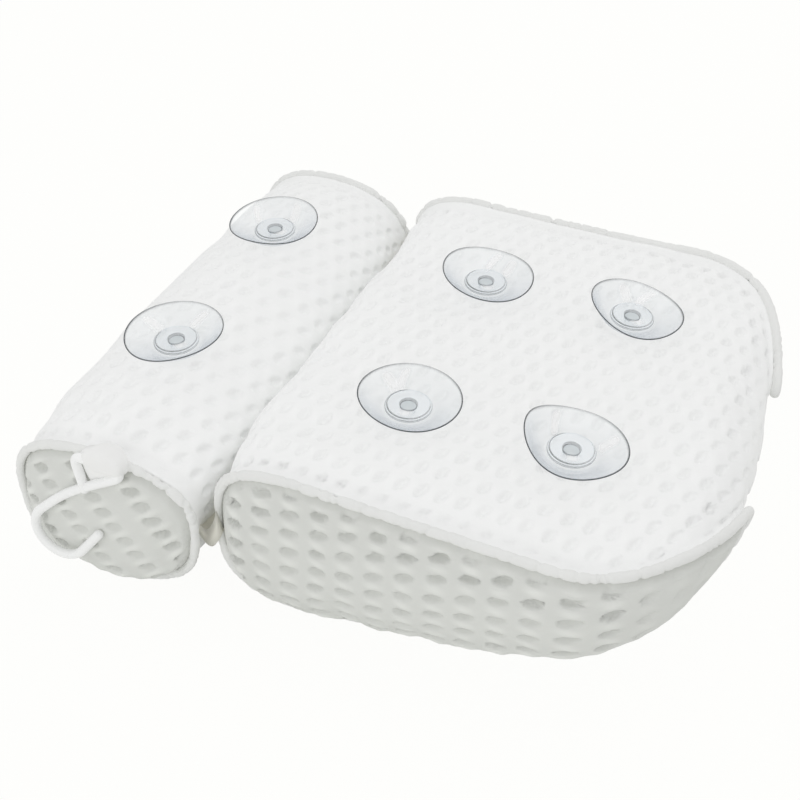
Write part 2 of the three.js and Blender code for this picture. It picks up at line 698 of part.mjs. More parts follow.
function hookGeometry() {
  const right = new THREE.Vector2(BAR_HALF, 0);
  const left = new THREE.Vector2(-BAR_HALF, 0);
  const tipAngle = BEND_START + HOOK_BEND_TURN;
  const tipWay = new THREE.Vector2(-Math.sin(tipAngle), Math.cos(tipAngle));
  const bendEnd = new THREE.Vector2(Math.cos(tipAngle), Math.sin(tipAngle));
  bendEnd.multiplyScalar(HOOK_BEND_RADIUS).add(BEND_CENTRE);
  const tip = bendEnd.clone().addScaledVector(tipWay, HOOK_TIP_LENGTH);
  const join = right.clone().addScaledVector(SHANK_WAY, HOOK_EYE_DEPTH);
  const barWay = new THREE.Vector2(-1, 0);
  const legWay = join.clone().sub(left).normalize();
  const legMiddle = left.clone().lerp(join, 0.5);
  const path = new THREE.Path();
  path.moveTo(tip.x, tip.y);
  path.lineTo(bendEnd.x, bendEnd.y);
  path.absarc(BEND_CENTRE.x, BEND_CENTRE.y, HOOK_BEND_RADIUS, tipAngle, BEND_START, true);
  roundCorner(path, right, SHANK_WAY.clone().negate(), barWay);
  roundCorner(path, left, barWay, legWay);
  path.lineTo(legMiddle.x, legMiddle.y);
  const points = path.getPoints(6).filter((p, i, all) => i === 0 || p.distanceTo(all[i - 1]) > 1e-3);
  const long = toSolid(wireGeometry(points, WIRE_RADIUS));
  const legFoot = legMiddle.clone().addScaledVector(legWay, -WIRE_RADIUS);
  const leg = toSolid(wireGeometry([legFoot, join], WIRE_RADIUS - HOOK_LEG_STEP));
  return fromSolid(long.add(leg));
}

// The hook hangs from the tab and leans on the domed end panel of the roll
function hookLean() {
  let lean = 0;
  const x = ROLL_X + TAB_SHIFT;
  for (let drop = 4; drop <= HOOK_BEND_RADIUS - BEND_CENTRE.y; drop += 2) {
    const z = rollTop(x) + HOOK_BAR_RISE - drop;
    const out = bulgeAt(ROLL, x, z) + FIT + PANEL_WALL + FIT + WIRE_RADIUS;
    lean = Math.max(lean, Math.atan2(out - BAR_OUT, drop));
  }
  return lean;
}

const part = new THREE.Group();

function addMesh(parent, name, geometry, material) {
  geometry.computeVertexNormals();
  const mesh = new THREE.Mesh(geometry, material);
  mesh.name = name;
  parent.add(mesh);
  return mesh;
}

for (const [label, cushion] of [['neck_roll', ROLL], ['back_pad', PAD]]) {
  const panelWord = cushion === ROLL ? 'end_panel' : 'side_panel';
  addMesh(part, `${label}_cover`, coverWithSeats(cushion), meshFabric);
  addMesh(part, `${label}_core`, coreWithPockets(cushion), foam);
  for (const [word, side] of [['near', -1], ['far', 1]]) {
    addMesh(part, `${label}_${panelWord}_${word}`, panelGeometry(cushion, side), meshFabric);
    addMesh(part, `${label}_piping_${word}`, pipingGeometry(cushion, side), pipingFabric);
  }
}

addMesh(part, 'fold_web', webGeometry(), webFabric);

CUP_SPOTS.forEach((spot, i) => {
  const group = new THREE.Group();
  group.position.copy(spot.place);
  addMesh(group, `suction_cup_${i + 1}`, cupGeometry(), clearSoft);
  addMesh(group, `cup_rivet_${i + 1}`, rivetGeometry(), clearHard);
  addMesh(group, `backing_washer_${i + 1}`, washerGeometry(), whitePlastic);
  part.add(group);
});

const tabX = ROLL_X + TAB_SHIFT;
const tabDrop = rollTop(tabX - TAB_WIDTH / 2) - rollTop(tabX + TAB_WIDTH / 2);
const tabGroup = new THREE.Group();
tabGroup.position.set(tabX, -ROLL_HALF_LENGTH, rollTop(tabX));
tabGroup.rotation.y = Math.atan2(tabDrop, TAB_WIDTH);
addMesh(tabGroup, 'hook_tab', tabGeometry(), pipingFabric);
const hookGroup = new THREE.Group();
hookGroup.position.set(0, -BAR_OUT, HOOK_BAR_RISE);
hookGroup.rotation.x = -hookLean();
addMesh(hookGroup, 'hang_hook', hookGeometry(), whitePlastic);
tabGroup.add(hookGroup);
part.add(tabGroup);

export default part;
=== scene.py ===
"""Bath pillow: a neck roll and a back pad in white spacer mesh, with clear suction cups and a hook."""

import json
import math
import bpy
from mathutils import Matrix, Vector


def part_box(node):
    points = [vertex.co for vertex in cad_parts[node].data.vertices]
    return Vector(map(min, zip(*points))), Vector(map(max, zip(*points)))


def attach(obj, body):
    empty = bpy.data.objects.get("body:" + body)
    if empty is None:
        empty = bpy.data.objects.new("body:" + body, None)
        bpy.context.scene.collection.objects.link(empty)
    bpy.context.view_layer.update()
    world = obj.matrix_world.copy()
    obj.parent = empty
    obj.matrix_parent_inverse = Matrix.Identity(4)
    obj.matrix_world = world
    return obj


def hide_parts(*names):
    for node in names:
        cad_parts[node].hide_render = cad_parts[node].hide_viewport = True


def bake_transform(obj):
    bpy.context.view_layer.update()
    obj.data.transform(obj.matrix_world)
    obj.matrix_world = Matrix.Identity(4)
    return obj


bl_info = {
    "name": "Bath pillow",
    "version": (1, 0, 0),
    "blender": (4, 5, 0),
    "location": "View3D > Sidebar > Bath pillow",
    "description": "Builds a two-part mesh bath pillow with suction cups and a hook on its packed frame",
    "category": "Object",
}

import bpy
import numpy as np
from bpy.props import FloatProperty, FloatVectorProperty, PointerProperty
from mathutils import Matrix, Vector
from mathutils.kdtree import KDTree

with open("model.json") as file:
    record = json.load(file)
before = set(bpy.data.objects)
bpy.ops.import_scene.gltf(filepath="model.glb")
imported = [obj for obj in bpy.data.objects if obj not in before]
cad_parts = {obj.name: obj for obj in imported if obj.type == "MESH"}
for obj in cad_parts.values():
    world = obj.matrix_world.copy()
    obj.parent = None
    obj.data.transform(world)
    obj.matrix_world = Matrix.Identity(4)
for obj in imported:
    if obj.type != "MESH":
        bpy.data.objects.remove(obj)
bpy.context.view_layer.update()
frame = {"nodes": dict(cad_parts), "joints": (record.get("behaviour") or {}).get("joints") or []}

# Shapes are worked out in millimetres and laid down in metres
MM = 0.001

# Sides of a cushion
NEAR = -1
FAR = 1
SIDE_WORDS = {NEAR: "near", FAR: "far"}

# Back pad: seam outline seen from the side and from above
PAD_NECK_X = -69.0
PAD_NOSE_X = 160.0
PAD_HALF_WIDTH = 127.0
PAD_NECK_HALF_WIDTH = 121.0
PAD_WIDTH_EASE = 0.08
PAD_TOP_Z = 93.5
PAD_BOTTOM_Z = 7.0
PAD_NECK_ROUND = 42.0
PAD_NOSE_Z = 75.0
PAD_NOSE_ROUND = 28.0
PAD_SWEEP_START = -30.0
PAD_SWEEP_RADIUS = 270.0
PAD_CORNER_LENGTH = 65.0
PAD_CORNER_TURN = math.radians(76)
PAD_TIP_HALF_WIDTH = 44.0
PAD_CROWN = {"top": 0.5, "under": 11.0, "side": 1.5}
PAD_BULGE = 8.0

# Neck roll: seam outline of its ends
ROLL_X = -127.5
ROLL_HALF_WIDTH = 50.0
ROLL_TOP_Z = 87.0
ROLL_BOTTOM_Z = 8.0
ROLL_HALF_LENGTH = 134.0
ROLL_TOP_POWER = 2.3
ROLL_OUTER_POWER = 3.1
ROLL_INNER_POWER = 2.05
ROLL_CROWN = {"top": 9.5, "under": 12.0, "side": 3.0}
ROLL_BULGE = 7.0

# Facing sides of the two cushions stay this side of the fold
PAD_FOLD_X = -71.4
ROLL_FOLD_X = -73.6

# Seams: how the edge of a sleeve rises, dips and tucks, and where the edge of a panel lies
SEAM_RISE = 0.9
SEAM_REACH = 0.8
SEAM_RISE_WIDTH = 3.0
SEAM_DIP = 0.5
SEAM_DIP_AT = 7.0
SEAM_DIP_WIDTH = 4.0
SEAM_TUCK = 6.0
SEAM_TUCK_RISE = 8.0
SEAM_TUCK_WIDTH = 14.0
SLEEVE_END_DEPTH = 4.0
PANEL_EDGE_INSET = 1.0
PANEL_EDGE_OUT = 0.8
PANEL_EDGE_EASE = 4.5
PANEL_STAND = 4.3
PANEL_BACK_OUT = -2.0
PUCKER_LENGTHS = (9.0, 14.0, 23.0, 31.0)
PUCKER_LEAN = 9.0
PUCKER_REACH = 8.0
PUCKER_START = 2.0

# Piping
PIPING_OUT = 2.5
PIPING_PROUD = 0.5
PIPING_WAVE = 0.05
PIPING_WAVE_TURN = 1.6
PIPING_WAVES = (5.0, 8.5, 14.0, 26.0)
PIPING_CREASE_EVERY = 10.0
PIPING_BUNCHES = {"back_pad": (-30.0, 50.0, 9), "neck_roll": (-112.0, -79.0, 12)}

# Filling: a sewn bag under pressure, then where the filling has shifted to
BAG_STEP = 6.0
BAG_VOXEL = 0.005
BAG_SEAM_STEP = 3.0
BAG_FAR = 60.0
BAG_SLACK_EASE = 12.0
BAG_PINNED = 6.0
BAG_FRAMES = 20
BAG_SMOOTHING = 3
BAG_NEIGHBOURS = 5
BAG_BLUR = 4.0
BAG_CLOTH = {
    "quality": 6, "mass": 0.3, "tension_stiffness": 20, "compression_stiffness": 20, "shear_stiffness": 8,
    "bending_stiffness": 0.4, "use_pressure": True, "shrink_min": -0.02,
}
FLOOR_EASE = 1.2

# Each shift of the filling: place, reach along each axis and push
SHIFTS = {
    "back_pad": (
        ((-68.0, 114.0, 76.0), (22.0, 36.0, 34.0), (-3.0, 4.0, 4.0)),
        ((-62.0, -128.0, 14.0), (40.0, 30.0, 30.0), (-3.0, -3.5, -2.5)),
        ((146.0, -80.0, 54.0), (36.0, 44.0, 30.0), (0.5, -3.0, -3.0)),
        ((-44.0, 124.0, 88.0), (30.0, 30.0, 30.0), (0.0, 1.0, 1.5)),
        ((75.0, 126.0, 86.0), (52.0, 26.0, 30.0), (0.0, -3.0, -1.0)),
        ((160.0, 20.0, 46.0), (26.0, 44.0, 36.0), (-4.0, 0.0, 0.0)),
        ((156.0, 70.0, 70.0), (36.0, 44.0, 44.0), (-3.0, 0.0, 0.0)),
        ((40.0, -128.0, 16.0), (70.0, 26.0, 26.0), (0.0, 1.0, 1.2)),
        ((-64.0, -12.0, 75.0), (23.0, 104.0, 26.0), (-4.0, 0.0, 11.5)),
        ((-66.0, -92.0, 74.0), (22.0, 36.0, 28.0), (-4.0, 0.0, 6.0)),
    ),
    "neck_roll": (
        ((-180.0, -58.0, 54.0), (44.0, 60.0, 50.0), (-3.0, 0.0, 1.0)),
        ((-178.0, -118.0, 62.0), (40.0, 26.0, 46.0), (-2.5, 0.0, 0.0)),
        ((-122.0, -140.0, 10.0), (48.0, 26.0, 26.0), (0.0, -4.0, -3.0)),
        ((-128.0, 138.0, 74.0), (40.0, 22.0, 34.0), (0.0, -3.0, -1.0)),
        ((-180.0, -138.0, 46.0), (18.0, 16.0, 34.0), (4.0, 0.0, 0.0)),
        ((-88.0, 138.0, 62.0), (34.0, 34.0, 44.0), (-3.0, -2.0, -2.0)),
        ((-78.0, -116.0, 46.0), (16.0, 26.0, 30.0), (-4.0, 0.0, 0.0)),
        ((-87.0, -20.0, 69.0), (18.0, 104.0, 22.0), (5.0, 0.0, 2.5)),
        ((-83.0, -112.0, 66.0), (16.0, 30.0, 18.0), (4.0, 0.0, 2.5)),
    ),
}

# Dimples of the spacer mesh, in metres and radians
SLEEVE_DIMPLE = {
    "Dimple width": 0.004, "Dimple length": 0.0088, "Turn": -0.36, "Edge": 0.35, "Lip": 0.0,
    "Wave": 0.0002, "Unevenness": 0.4, "Wander": 0.3,
}
PAD_PANEL_DIMPLE = {
    "Pitch": 0.0104, "Row spacing": 0.0146, "Dimple width": 0.0046, "Dimple length": 0.0096, "Turn": -0.35,
    "Edge": 0.0, "Lip": 1.0, "Wave": 0.0005, "Unevenness": 0.25, "Wander": 0.2,
}
ROLL_PANEL_DIMPLE = {
    "Pitch": 0.0087, "Row spacing": 0.021, "Dimple width": 0.0052, "Dimple length": 0.0092, "Turn": 2.877,
    "Edge": 0.0, "Lip": 1.0, "Wave": 0.0004, "Unevenness": 0.3, "Wander": 0.15,
}
DIMPLE_INPUTS = (
    "Pitch", "Row spacing", "Dimple width", "Dimple length", "Turn", "Depth", "Edge", "Lip", "Wave",
    "Unevenness", "Wander",
)
WANDER_SCALE = 45.0
SOFT_POWER = 1.4
HARD_SLOPE = 4.5
LIP_TILT = 0.45

# Where the rows of dimples lie, in millimetres
ROLL_PANEL_LINE = math.radians(-55)
ROW_Y = -105.0
PAD_ROW_X = -13.6
ROW_DRIFT = 0.06
PANEL_ROW_Z = 68.2
PANEL_COLUMN_X = 1.0

# Where dimples fade: beside seams and cups, on the floor, and towards the nose
SEAM_PLAIN = 2.0
SEAM_FADE = 7.0
SEAT_FADE = 5.0
FLOOR_SHARE = 0.35
FLOOR_FADE = 3.0
NOSE_TURN_X = 142.0
NOSE_FADE = 14.0
NOSE_LOSS = 0.55
PANEL_PLAIN = 1.0
PANEL_FADE = 5.0
PANEL_FULLEST = 8.0
PANEL_FULL_REACH = 6.0
PANEL_GAIN = 0.35
PANEL_PLAIN_X = 112.0
PANEL_PLAIN_FADE = 30.0
PANEL_LOSS = 0.8

# Fold web
WEB_Z = 50.0
WEB_SAG = 10.0
WEB_HALF_LENGTH = 130.0
WEB_WALL = 1.5
WEB_OVERLAP = 0.6
WEB_END_RISE = 16.0
WEB_END = 4.0
WEB_END_LOW = 0.35
WEB_TUCK = 4.0
WEB_TUCK_Y = -116.0
WEB_TUCK_WIDTH = 26.0

# Suction cups and their rivets
CUP_NUMBERS = (1, 2, 3, 4, 5, 6)
ROLL_CUPS = (5, 6)
CUP_FIT = 0.3
CUP_RADIUS = 25.0
CUP_HEIGHT = 10.6
CUP_FOOT_RADIUS = 9.0
CUP_DECK_Z = 3.0
CUP_BORE_RADIUS = 3.3
CUP_KNEE = (18.7, 5.3)
CUP_INNER_KNEE = (17.9, 6.15)
CUP_STEP = 0.6
DISC_RADIUS = 11.5
DISC_STEP = 0.9
DISC_FOOT_Z = 3.3
DISC_TOP_Z = 5.3
RECESS_RADIUS = 4.25
RECESS_FLOOR_Z = 3.9
SHANK_RADIUS = 3.0
RIVET_HEAD_RADIUS = 5.2
RIVET_HEAD_TOP_Z = -5.3
RIVET_HEAD_FOOT_Z = -6.8
RIVET_STEP = 0.5
SEAT_RADIUS = 11.5
SEAT_EASE = 9.0
SEAT_DEPTH = 15.0
SEAT_SINK = 0.2

# How each cup leans and waves, and where painted highlight streaks lie on its film, in degrees
CUP_LEANS = {1: (4.5, 113), 2: (10.0, 113), 3: (6.5, 113), 4: (12.0, 113), 5: (4.0, 293), 6: (3.0, 293)}
CUP_WAVES = {1: (0.5, 40), 2: (1.9, 0), 3: (0.8, 200), 4: (1.2, 10), 5: (0.6, 150), 6: (0.8, 260)}
CUP_HIGHLIGHTS = {1: (122, 141), 2: (134, 36), 3: (98, 64), 4: (84, 118), 5: (78, 161), 6: (151, 74)}
CUP_FOOT_LEAN = 0.35
CUP_OVAL = 0.012
# Far side of each cup, where its painted dark edge lines are faintest
CUP_FAR_SIDE = 100
# Width, middle, reach and end of the painted highlight streaks on the cups, in millimetres
HIGHLIGHT_WIDTH = 1.5
HIGHLIGHT_MIDDLE = 18.0
HIGHLIGHT_REACH = 7.0
HIGHLIGHT_END = 23.4
# Side where the rivets' painted dark edge lines are heaviest, in degrees
RIVET_LEFT = 165

# Hook, seen in its own plane with the middle of its bar at the origin
BAR_HALF = 14.53
SHANK_ANGLE = math.radians(40)
SHANK_LENGTH = 61.8
EYE_DEPTH = 30.0
BEND_RADIUS = 14.4
BEND_TURN = math.radians(197)
TIP_LENGTH = 17.5
TIP_GAP = 2.0
CORNER_RADIUS = 2.4
HOOK_LEAN = math.radians(7.9)
HOOK_BAR = np.array((-119.345, -143.1, 88.739))
SHANK_BOW = 2.4
SHANK_BOW_POWER = 1.25
WIRE_SMOOTHING = 6

# Tab: a loop round the hook's bar, and the skirt behind the hook's eye
TAB_FROM = -9.8
TAB_TO = 12.0
TAB_FRONT = 4.0
TAB_BACK = 13.0
TAB_RISE = 8.0
TAB_DROP = 3.6
TAB_SKEW = 0.1
TAB_END = 0.2
SKIRT_FROM = -13.2
SKIRT_TO = 12.0
SKIRT_FRONT = -1.7
SKIRT_BULGE = 2.8
SKIRT_BACK = -9.0
SKIRT_BACK_END = 0.4
SKIRT_TOP = 5.0
SKIRT_TOP_DROP = 1.5

# Looks
# Painted shade: colour of the dark lines painted on the edges of the clear plastic, for refraction and shade
PAINTED_EDGE_SHADE = (0.04, 0.05, 0.06, 1.0)
VEIL = (0.38, 0.46, 0.56, 1.0)
# Painted highlight: colour of the pale streaks and glints painted on the cups and rivets
PAINTED_HIGHLIGHT = (0.95, 0.95, 0.95, 1.0)
WASHER_COLOUR = (0.8, 0.8, 0.79)
# How much paler the ridges of the sleeve and panel mesh are painted: painted highlight, partly tighter knit
SLEEVE_RIDGE_HIGHLIGHT = 0.02
PANEL_RIDGE_HIGHLIGHT = 0.13
# How quickly the painted edge shade and painted highlight marks reach full strength
MARK_GAIN = 6.0
FILM_HAZE = 0.004
RECESS_HAZE = 0.7
CUP_GAIN = 0.45
RIVET_GAIN = 0.06
LIGHT_LET_THROUGH = 0.8
CLEAR_LAYERS = 32
WHITE_BOUNCES = 12

# Stage, in metres
CAMERA_PLACE = (0.1654, -0.4634, 0.4799)
CAMERA_RIGHT = (0.9229, 0.3851, -0.0028)
CAMERA_DOWN = (0.2505, -0.6058, -0.7551)
CAMERA_AHEAD = (-0.2925, 0.6962, -0.6556)
CAMERA_LENS = 54.9
CAMERA_SENSOR = 36.0
CAMERA_NEAREST = 0.01
OVERHEAD_PLACE = (0.3, 0.9, 1.75)
OVERHEAD_SIZE = 2.2
FRONT_PLACE = (-0.35, -1.5, 0.8)
FRONT_SIZE = 1.6
FLOOR_HALF = 3.0
FLOOR_GLOW = 0.96
SEEN_RAYS = ("Is Camera Ray", "Is Glossy Ray", "Is Transmission Ray")

# Fineness of the meshes
OUTLINE_POINTS = 1600
SLEEVE_STEP = 1.1
PANEL_STEP = 0.6
PANEL_EDGE_STEP = 2.0
PANEL_LEAST_ROWS = 6
PIPING_STEP = 0.7
PIPING_SIDES = 16
TURN_SEGMENTS = 144
WIRE_STEP = 0.9
WIRE_SIDES = 16


# Settings
def colour_setting(name, description, default):
    """A colour that a user may change."""
    return FloatVectorProperty(
        name=name, description=description, subtype="COLOR", size=3, min=0.0, max=1.0, default=default
    )


def length_setting(name, description, default):
    """A length in metres that a user may change."""
    return FloatProperty(
        name=name, description=description, unit="LENGTH", min=0.0, precision=4, default=default
    )


def level_setting(name, description, default, unit="NONE"):
    """A strength that a user may change."""
    return FloatProperty(name=name, description=description, unit=unit, min=0.0, default=default)


class FabricSettings(bpy.types.PropertyGroup):
    """Spacer mesh of the sleeves and panels, and the filling behind it."""

    colour: colour_setting("Sleeve colour", "Colour of the mesh of the sleeves", (0.95, 0.955, 0.95))
    # Darker and greener than the sleeves: partly the panels' own grey, partly painted shade of the upright
    # sides
    panel_colour: colour_setting("Panel colour", "Colour of the mesh of the side panels", (0.72, 0.73, 0.7))
    pitch: length_setting("Dimple pitch", "From dimple to dimple round a sleeve", 0.010)
    row: length_setting("Row spacing", "From row to row across a sleeve", 0.0126)
    depth: length_setting("Dimple depth", "Depth of the dimples in a sleeve", 0.0022)
    panel_depth: length_setting("Panel dimple depth", "Depth of the dimples in the side panels", 0.0026)
    pressure: level_setting("Filling pressure", "Pressure of the filling on the cover", 4.0)
    slack: length_setting("Slack", "How far the cover sits inside its full shape before it is filled", 0.001)
    swell_limit: length_setting("Swell limit", "How far the filling may push a point of the cover", 0.0025)


class SeamSettings(bpy.types.PropertyGroup):
    """Piping round the panels, the web in the fold and the hook's tab."""

    colour: colour_setting("Piping colour", "Colour of the piping", (0.84, 0.845, 0.83))
    tab_colour: colour_setting("Tab colour", "Colour of the hook's tab", (0.92, 0.92, 0.91))
    web_colour: colour_setting("Web colour", "Colour of the web in the fold", (0.78, 0.765, 0.69))
    radius: length_setting("Piping radius", "Half the thickness of the piping", 0.0024)
    gather: length_setting("Gathers", "Depth of the puckers that the seam pulls into the panels", 0.0006)


class CupSettings(bpy.types.PropertyGroup):
    """Suction cups and rivets."""

    tint: colour_setting("Cup tint", "Tint of the clear soft plastic", (0.99, 0.995, 0.998))
    disc_tint: colour_setting("Rivet tint", "Tint of the clear hard plastic", (0.985, 0.992, 0.998))
    dot: colour_setting("Recess colour", "Colour of the recess in the rivet", (0.56, 0.61, 0.63))
    wave: length_setting("Rim wave", "How far the rim waves up and down", 0.001)


class HookSettings(bpy.types.PropertyGroup):
    """Hanging hook."""

    colour: colour_setting("Hook colour", "Colour of the moulded hook", (0.94, 0.945, 0.94))
    radius: length_setting("Wire radius", "Half the thickness of the hook", 0.0024)


class StageSettings(bpy.types.PropertyGroup):
    """Floor and light."""

    floor: colour_setting("Floor colour", "Colour of the floor", (0.9, 0.905, 0.885))
    backdrop: colour_setting("Backdrop colour", "Colour behind the pillow", (1.0, 1.0, 0.985))
    key: level_setting("Overhead light", "Power of the lamp above", 8.0, "POWER")
    front: level_setting("Front light", "Power of the lamp in front", 5.0, "POWER")
    fill: level_setting("Fill light", "Level of the light from all round", 0.7)


SETTINGS = {
    "pillow_fabric": FabricSettings,
    "pillow_seams": SeamSettings,
    "pillow_cups": CupSettings,
    "pillow_hook": HookSettings,
    "pillow_stage": StageSettings,
}


# Curves and lines
def smooth_step(value):
    """0 below 0, 1 above 1, and an even ease between."""
    share = np.clip(value, 0, 1)
    return share * share * (3 - 2 * share)


def bell(offset, width):
    """1 at no offset, falling off to both sides."""
    return np.exp(-((offset / width) ** 2))


def full_turn(count):
    """Angles at even steps once round."""
    return np.linspace(0, 2 * math.pi, count, endpoint=False)


def run_along(points):
    """Length from the start of a line to each of its points."""
    return np.concatenate(([0], np.cumsum(np.linalg.norm(np.diff(points, axis=0), axis=1))))


def laid_at(points, run, at):
    """Points of a line at given lengths."""
    return np.column_stack([np.interp(at, run, points[:, i]) for i in range(points.shape[1])])


def even_steps(loop, spacing):
    """A closed line of points laid again at even steps."""
    closed = np.vstack((loop, loop[:1]))
    run = run_along(closed)
    count = int(round(run[-1] / spacing))
    return laid_at(closed, run, np.linspace(0, run[-1], count, endpoint=False))


def loop_normals(loop, stretch=1.0):
    """Outward directions of a closed loop of side and height."""
    along = np.roll(loop, -1, 0) - np.roll(loop, 1, 0)
    normal = np.column_stack((-along[:, 1], along[:, 0] * stretch))
    return normal / np.linalg.norm(normal, axis=1, keepdims=True)


def distance_to(points, line):
    """Distance from each point to the nearest point of a line of points."""
    block = 2000
    nearest = np.empty(len(points))
    for start in range(0, len(points), block):
        away = points[start:start + block, None, :] - line[None, :, :]
        nearest[start:start + block] = np.sqrt((away * away).sum(-1).min(1))
    return nearest


def ripples(along, around, depth, lengths, seed):
    """Uneven wrinkles along a line: a few waves of given lengths with fixed random phases."""
    source = np.random.default_rng(seed)
    total = np.zeros(np.broadcast(along, around).shape)
    for length in lengths:
        phase = source.uniform(0, 2 * math.pi, 2)
        lean = source.uniform(-1, 1)
        stretch = source.uniform(0.8, 1.25)
        total += np.sin(2 * math.pi * along / (length * stretch) + lean * around + phase[0])
    return depth * total / math.sqrt(len(lengths))


# Outline of the back pad
def pad_half_width(x):
    """Half width of the pad's seam line seen from above."""
    x = np.asarray(x, float)
    corner_x = PAD_NOSE_X - PAD_CORNER_LENGTH
    depth = (PAD_HALF_WIDTH - PAD_TIP_HALF_WIDTH) / (1 - math.cos(PAD_CORNER_TURN))
    slope = depth * math.sin(PAD_CORNER_TURN) * math.tan(PAD_CORNER_TURN) / PAD_CORNER_LENGTH
    share = np.maximum(0, corner_x - x) / (corner_x - PAD_NECK_X)
    eased = np.hypot(share, PAD_WIDTH_EASE) - PAD_WIDTH_EASE
    along = np.clip((x - corner_x) / PAD_CORNER_LENGTH, 0, 1) * math.sin(PAD_CORNER_TURN)
    rounded = depth * (1 - np.sqrt(1 - along * along)) + np.maximum(0, x - PAD_NOSE_X) * slope
    return PAD_HALF_WIDTH - (PAD_HALF_WIDTH - PAD_NECK_HALF_WIDTH) * eased - rounded


def pad_fullness(x):
    """1 where the pad has its full height, falling to 0 at its neck and nose."""
    neck = 1 - np.clip((x - PAD_NECK_X) / PAD_NECK_ROUND, 0, 1)
    nose = 1 - np.clip((PAD_NOSE_X - x) / PAD_NOSE_ROUND, 0, 1)
    return np.sqrt((1 - neck * neck) * (1 - nose * nose))


def pad_middle(x):
    """Height of the line from the pad's neck point to its nose point."""
    share = np.clip((x - PAD_NECK_X) / (PAD_NOSE_X - PAD_NECK_X), 0, 1)
    neck_z = (PAD_TOP_Z + PAD_BOTTOM_Z) / 2
    return neck_z + (PAD_NOSE_Z - neck_z) * share


def pad_top(x):
    """Height of the pad's upper seam."""
    middle = pad_middle(x)
    return middle + (PAD_TOP_Z - middle) * pad_fullness(x)


def pad_bottom(x):
    """Height of the pad's lower seam."""
    swept = np.maximum(0, x - PAD_SWEEP_START)
    line = PAD_BOTTOM_Z + swept * swept / (2 * PAD_SWEEP_RADIUS)
    middle = pad_middle(x)
    return middle + (line - middle) * pad_fullness(x)


# Outline of the neck roll
def roll_half_width(x):
    """Half length of the roll between its end seams."""
    return np.full_like(np.asarray(x, float), ROLL_HALF_LENGTH)


def roll_half_section(x, power):
    """Half height of the roll's end, for a given squareness."""
    share = np.clip(np.abs((x - ROLL_X) / ROLL_HALF_WIDTH), 0, 1)
    return (ROLL_TOP_Z - ROLL_BOTTOM_Z) / 2 * (1 - share**power) ** (1 / power)


def roll_top(x):
    """Height of the upper half of the roll's end seam."""
    return (ROLL_TOP_Z + ROLL_BOTTOM_Z) / 2 + roll_half_section(x, ROLL_TOP_POWER)


def roll_bottom(x):
    """Height of the lower half of the roll's end seam."""
    power = np.where(x < ROLL_X, ROLL_OUTER_POWER, ROLL_INNER_POWER)
    return (ROLL_TOP_Z + ROLL_BOTTOM_Z) / 2 - roll_half_section(x, power)


class Cushion:
    """One sewn cushion: a sleeve between two seam loops, closed by a panel at each side."""

    def __init__(self, label, span, top, bottom, half_width, crown, bulge):
        self.label = label
        self.first, self.last = span
        self.middle = (self.first + self.last) / 2
        self.top = top
        self.bottom = bottom
        self.half_width = half_width
        self.crown = crown
        self.bulge = bulge
        self.swell = None

    def stations(self, count):
        """Places along the cushion, closer together at its ends."""
        turn = np.linspace(0, math.pi, count)
        return self.first + (self.last - self.first) * (1 - np.cos(turn)) / 2

    def outline(self, count):
        """Seam loop: along the top from the neck to the nose, then back along the underside."""
        x = self.stations(count)
        upper = np.column_stack((x, self.top(x)))
        lower = np.column_stack((x, self.bottom(x)))[-2:0:-1]
        return np.vstack((upper, lower))

    def seam(self, spacing):
        """Seam loop at even steps."""
        return even_steps(self.outline(OUTLINE_POINTS), spacing)

    def slope(self, x):
        """How fast the outline narrows seen from above."""
        step = 0.01
        return (self.half_width(x) - self.half_width(x - step)) / step

    def end_share(self, x):
        """0 in the middle of the cushion, 1 at its neck and nose."""
        return np.clip(np.abs(2 * (x - self.first) / (self.last - self.first) - 1), 0, 1)

    def tuck(self, x, z):
        """How far the lower seam is drawn in, where the cushion's weight rolls the panel over it."""
        above = z - self.bottom(np.clip(x, self.first, self.last))
        return SEAM_TUCK * smooth_step(1 - above / SEAM_TUCK_RISE) * (1 - self.end_share(x) ** 4)

    def side(self, x, z, out, way):
        """Places on the wrapped side, some distance out from the seams."""
        slope = self.slope(x)
        size = np.hypot(slope, 1)
        out = out - self.tuck(x, z)
        return np.stack((x - out * slope / size, way * (self.half_width(x) + out / size), z), -1)

    def panel_bulge(self, x, z):
        """How far a panel swells out, fuller towards its lower seam."""
        top = self.top(x)
        bottom = self.bottom(x)
        level = np.clip((2 * z - top - bottom) / np.maximum(1e-6, top - bottom), -1, 1)
        power = np.where(level > 0, 2.0, 4.0)
        return self.bulge * (1 - np.abs(level) ** power) * (1 - self.end_share(x) ** 4)


PAD = Cushion(
    "back_pad", (PAD_NECK_X, PAD_NOSE_X), pad_top, pad_bottom, pad_half_width, PAD_CROWN, PAD_BULGE
)
ROLL = Cushion(
    "neck_roll", (ROLL_X - ROLL_HALF_WIDTH, ROLL_X + ROLL_HALF_WIDTH), roll_top, roll_bottom,
    roll_half_width, ROLL_CROWN, ROLL_BULGE,
)


def cup_seats():
    """Middle of each cup's seat on the sleeves, in millimetres, by cup number."""
    seats = {}
    for number in CUP_NUMBERS:
        low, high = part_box(f"suction_cup_{number}")
        middle = (low + high) / (2 * MM)
        seats[number] = np.array((middle.x, middle.y, low.z / MM - CUP_FIT))
    return seats


CUP_SEATS = cup_seats()


def seats_on(cushion):
    """Seats of the cups on a cushion."""
    on_roll = cushion is ROLL
    return [seat for number, seat in CUP_SEATS.items() if (number in ROLL_CUPS) == on_roll]


# Meshes
def signed_volume(points, faces):
    """Volume inside a closed shell, below 0 where its faces point inwards."""
    total = 0.0
    for size in (3, 4):
        group = np.array([face for face in faces if len(face) == size], int).reshape(-1, size)
        for i in range(1, size - 1):
            total += np.sum(points[group[:, 0]] * np.cross(points[group[:, i]], points[group[:, i + 1]]))
    return total


